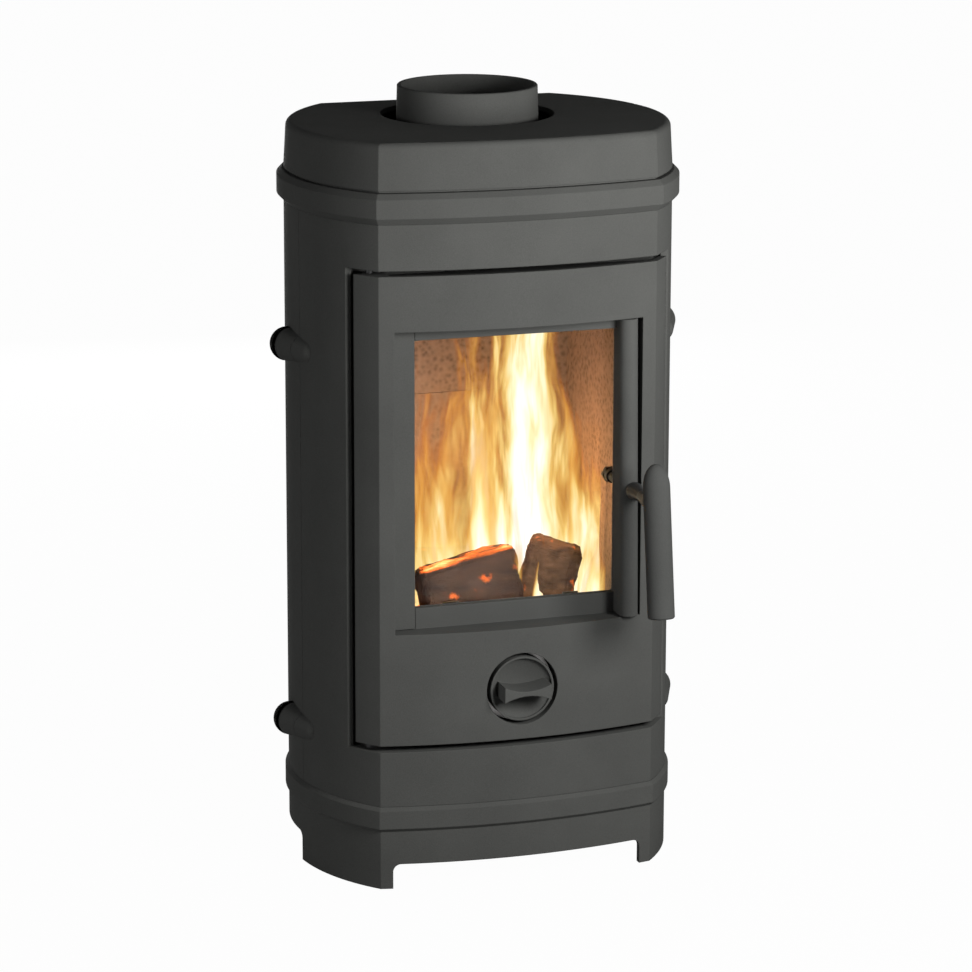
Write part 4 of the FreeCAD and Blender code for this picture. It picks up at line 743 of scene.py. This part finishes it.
class STOVE_OT_stage(bpy.types.Operator):
    """Set the pale floor, the soft light and the camera"""

    bl_idname = "stove.stage"
    bl_label = "Stage"

    def execute(self, context):
        self.lay_floor()
        self.light_world(context.scene)
        for name, setting in LAMPS.items():
            lamp(name, **setting)
        self.light_fire()
        self.set_camera(context.scene)
        context.scene.view_settings.view_transform = "Standard"
        return {"FINISHED"}

    def light_fire(self):
        """A small warm light among the flames that isn't seen itself."""
        clear_selection()
        bpy.ops.object.light_add(type="POINT", location=FIRE_LIGHT_PLACE)
        glow = bpy.context.active_object
        glow.name = "fire_glow"
        glow.data.energy = FIRE_LIGHT_WATTS
        glow.data.color = FIRE_LIGHT_COLOUR
        glow.data.shadow_soft_size = FIRE_LIGHT_RADIUS
        glow.visible_camera = False
        glow.visible_glossy = False
        glow.visible_transmission = False

    def lay_floor(self):
        """A wide floor that looks white and throws back little light."""
        clear_selection()
        bpy.ops.mesh.primitive_plane_add(size=2 * sizes().floor_half)
        floor = new_piece("studio_floor")
        finish = Finish("floor_white")
        paths = finish.add("ShaderNodeLightPath")
        seen = finish.math("MAXIMUM", paths.outputs["Is Camera Ray"],
                           finish.math("MAXIMUM", paths.outputs["Is Glossy Ray"],
                                       paths.outputs["Is Transmission Ray"]))
        matte = finish.add("ShaderNodeBsdfDiffuse")
        matte.inputs["Color"].default_value = FLOOR_GREY
        white = finish.add("ShaderNodeEmission")
        white.inputs["Color"].default_value = (*WHITE, 1.0)
        white.inputs["Strength"].default_value = 1.0
        blend = finish.add("ShaderNodeMixShader")
        finish.link(finish.math("MULTIPLY", seen, FLOOR_WHITE), blend.inputs["Fac"])
        finish.link(matte.outputs["BSDF"], blend.inputs[1])
        finish.link(white.outputs["Emission"], blend.inputs[2])
        finish.tree.nodes.remove(finish.shader)
        finish.link(blend.outputs["Shader"], finish.output.inputs["Surface"])
        floor.data.materials.append(finish.material)

    def light_world(self, scene):
        """A backdrop that looks white and gives a faint light from all round."""
        world = bpy.data.worlds.new("studio_air")
        scene.world = world
        world.use_nodes = True
        tree = world.node_tree
        backdrop = tree.nodes["Background"]
        paths = tree.nodes.new("ShaderNodeLightPath")
        seen = paths.outputs["Is Camera Ray"]
        for ray in ("Is Glossy Ray", "Is Transmission Ray"):
            either = tree.nodes.new("ShaderNodeMath")
            either.operation = "MAXIMUM"
            tree.links.new(seen, either.inputs[0])
            tree.links.new(paths.outputs[ray], either.inputs[1])
            seen = either.outputs["Value"]
        level = tree.nodes.new("ShaderNodeMapRange")
        level.inputs["To Min"].default_value = AIR_LIGHT
        level.inputs["To Max"].default_value = 1.0
        tree.links.new(seen, level.inputs["Value"])
        tree.links.new(level.outputs["Result"], backdrop.inputs["Strength"])
        backdrop.inputs["Color"].default_value = (*WHITE, 1.0)

    def set_camera(self, scene):
        """The camera, where the photograph was taken from."""
        size = sizes()
        clear_selection()
        bpy.ops.object.camera_add(location=tuple(size.camera_place))
        camera = bpy.context.active_object
        camera.name = "photo_camera"
        look = Euler((math.radians(90) - size.camera_tilt, 0.0, -size.camera_turn)).to_matrix()
        camera.rotation_euler = (look @ Matrix.Rotation(size.camera_roll, 3, "Z")).to_euler()
        camera.data.lens = size.camera_lens
        camera.data.sensor_width = SENSOR_WIDTH
        camera.data.clip_end = FARTHEST_VIEW
        scene.camera = camera


class STOVE_PT_panel(bpy.types.Panel):
    """Lists the steps that dress the stove."""

    bl_idname = "STOVE_PT_panel"
    bl_label = "Cast Iron Stove"
    bl_space_type = "VIEW_3D"
    bl_region_type = "UI"
    bl_category = "Stove"

    def draw(self, context):
        for step in STEPS:
            self.layout.operator(step.bl_idname)
        for group in (context.scene.stove_colours, context.scene.stove_sizes):
            for name in group.bl_rna.properties.keys():
                if name not in ("rna_type", "name"):
                    self.layout.prop(group, name)


STEPS = (STOVE_OT_finish_castings, STOVE_OT_rope_seals, STOVE_OT_logs, STOVE_OT_embers, STOVE_OT_flames,
         STOVE_OT_stage)
CLASSES = (StoveColours, StoveSizes) + STEPS + (STOVE_PT_panel,)


def register():
    for kind in CLASSES:
        bpy.utils.register_class(kind)
    bpy.types.Scene.stove_colours = bpy.props.PointerProperty(type=StoveColours)
    bpy.types.Scene.stove_sizes = bpy.props.PointerProperty(type=StoveSizes)


def unregister():
    del bpy.types.Scene.stove_colours
    del bpy.types.Scene.stove_sizes
    for kind in reversed(CLASSES):
        bpy.utils.unregister_class(kind)


def main():
    register()
    bpy.ops.stove.finish_castings()
    bpy.ops.stove.rope_seals()
    bpy.ops.stove.logs()
    bpy.ops.stove.embers()
    bpy.ops.stove.flames()
    bpy.ops.stove.stage()


if __name__ == "__main__":
    main()
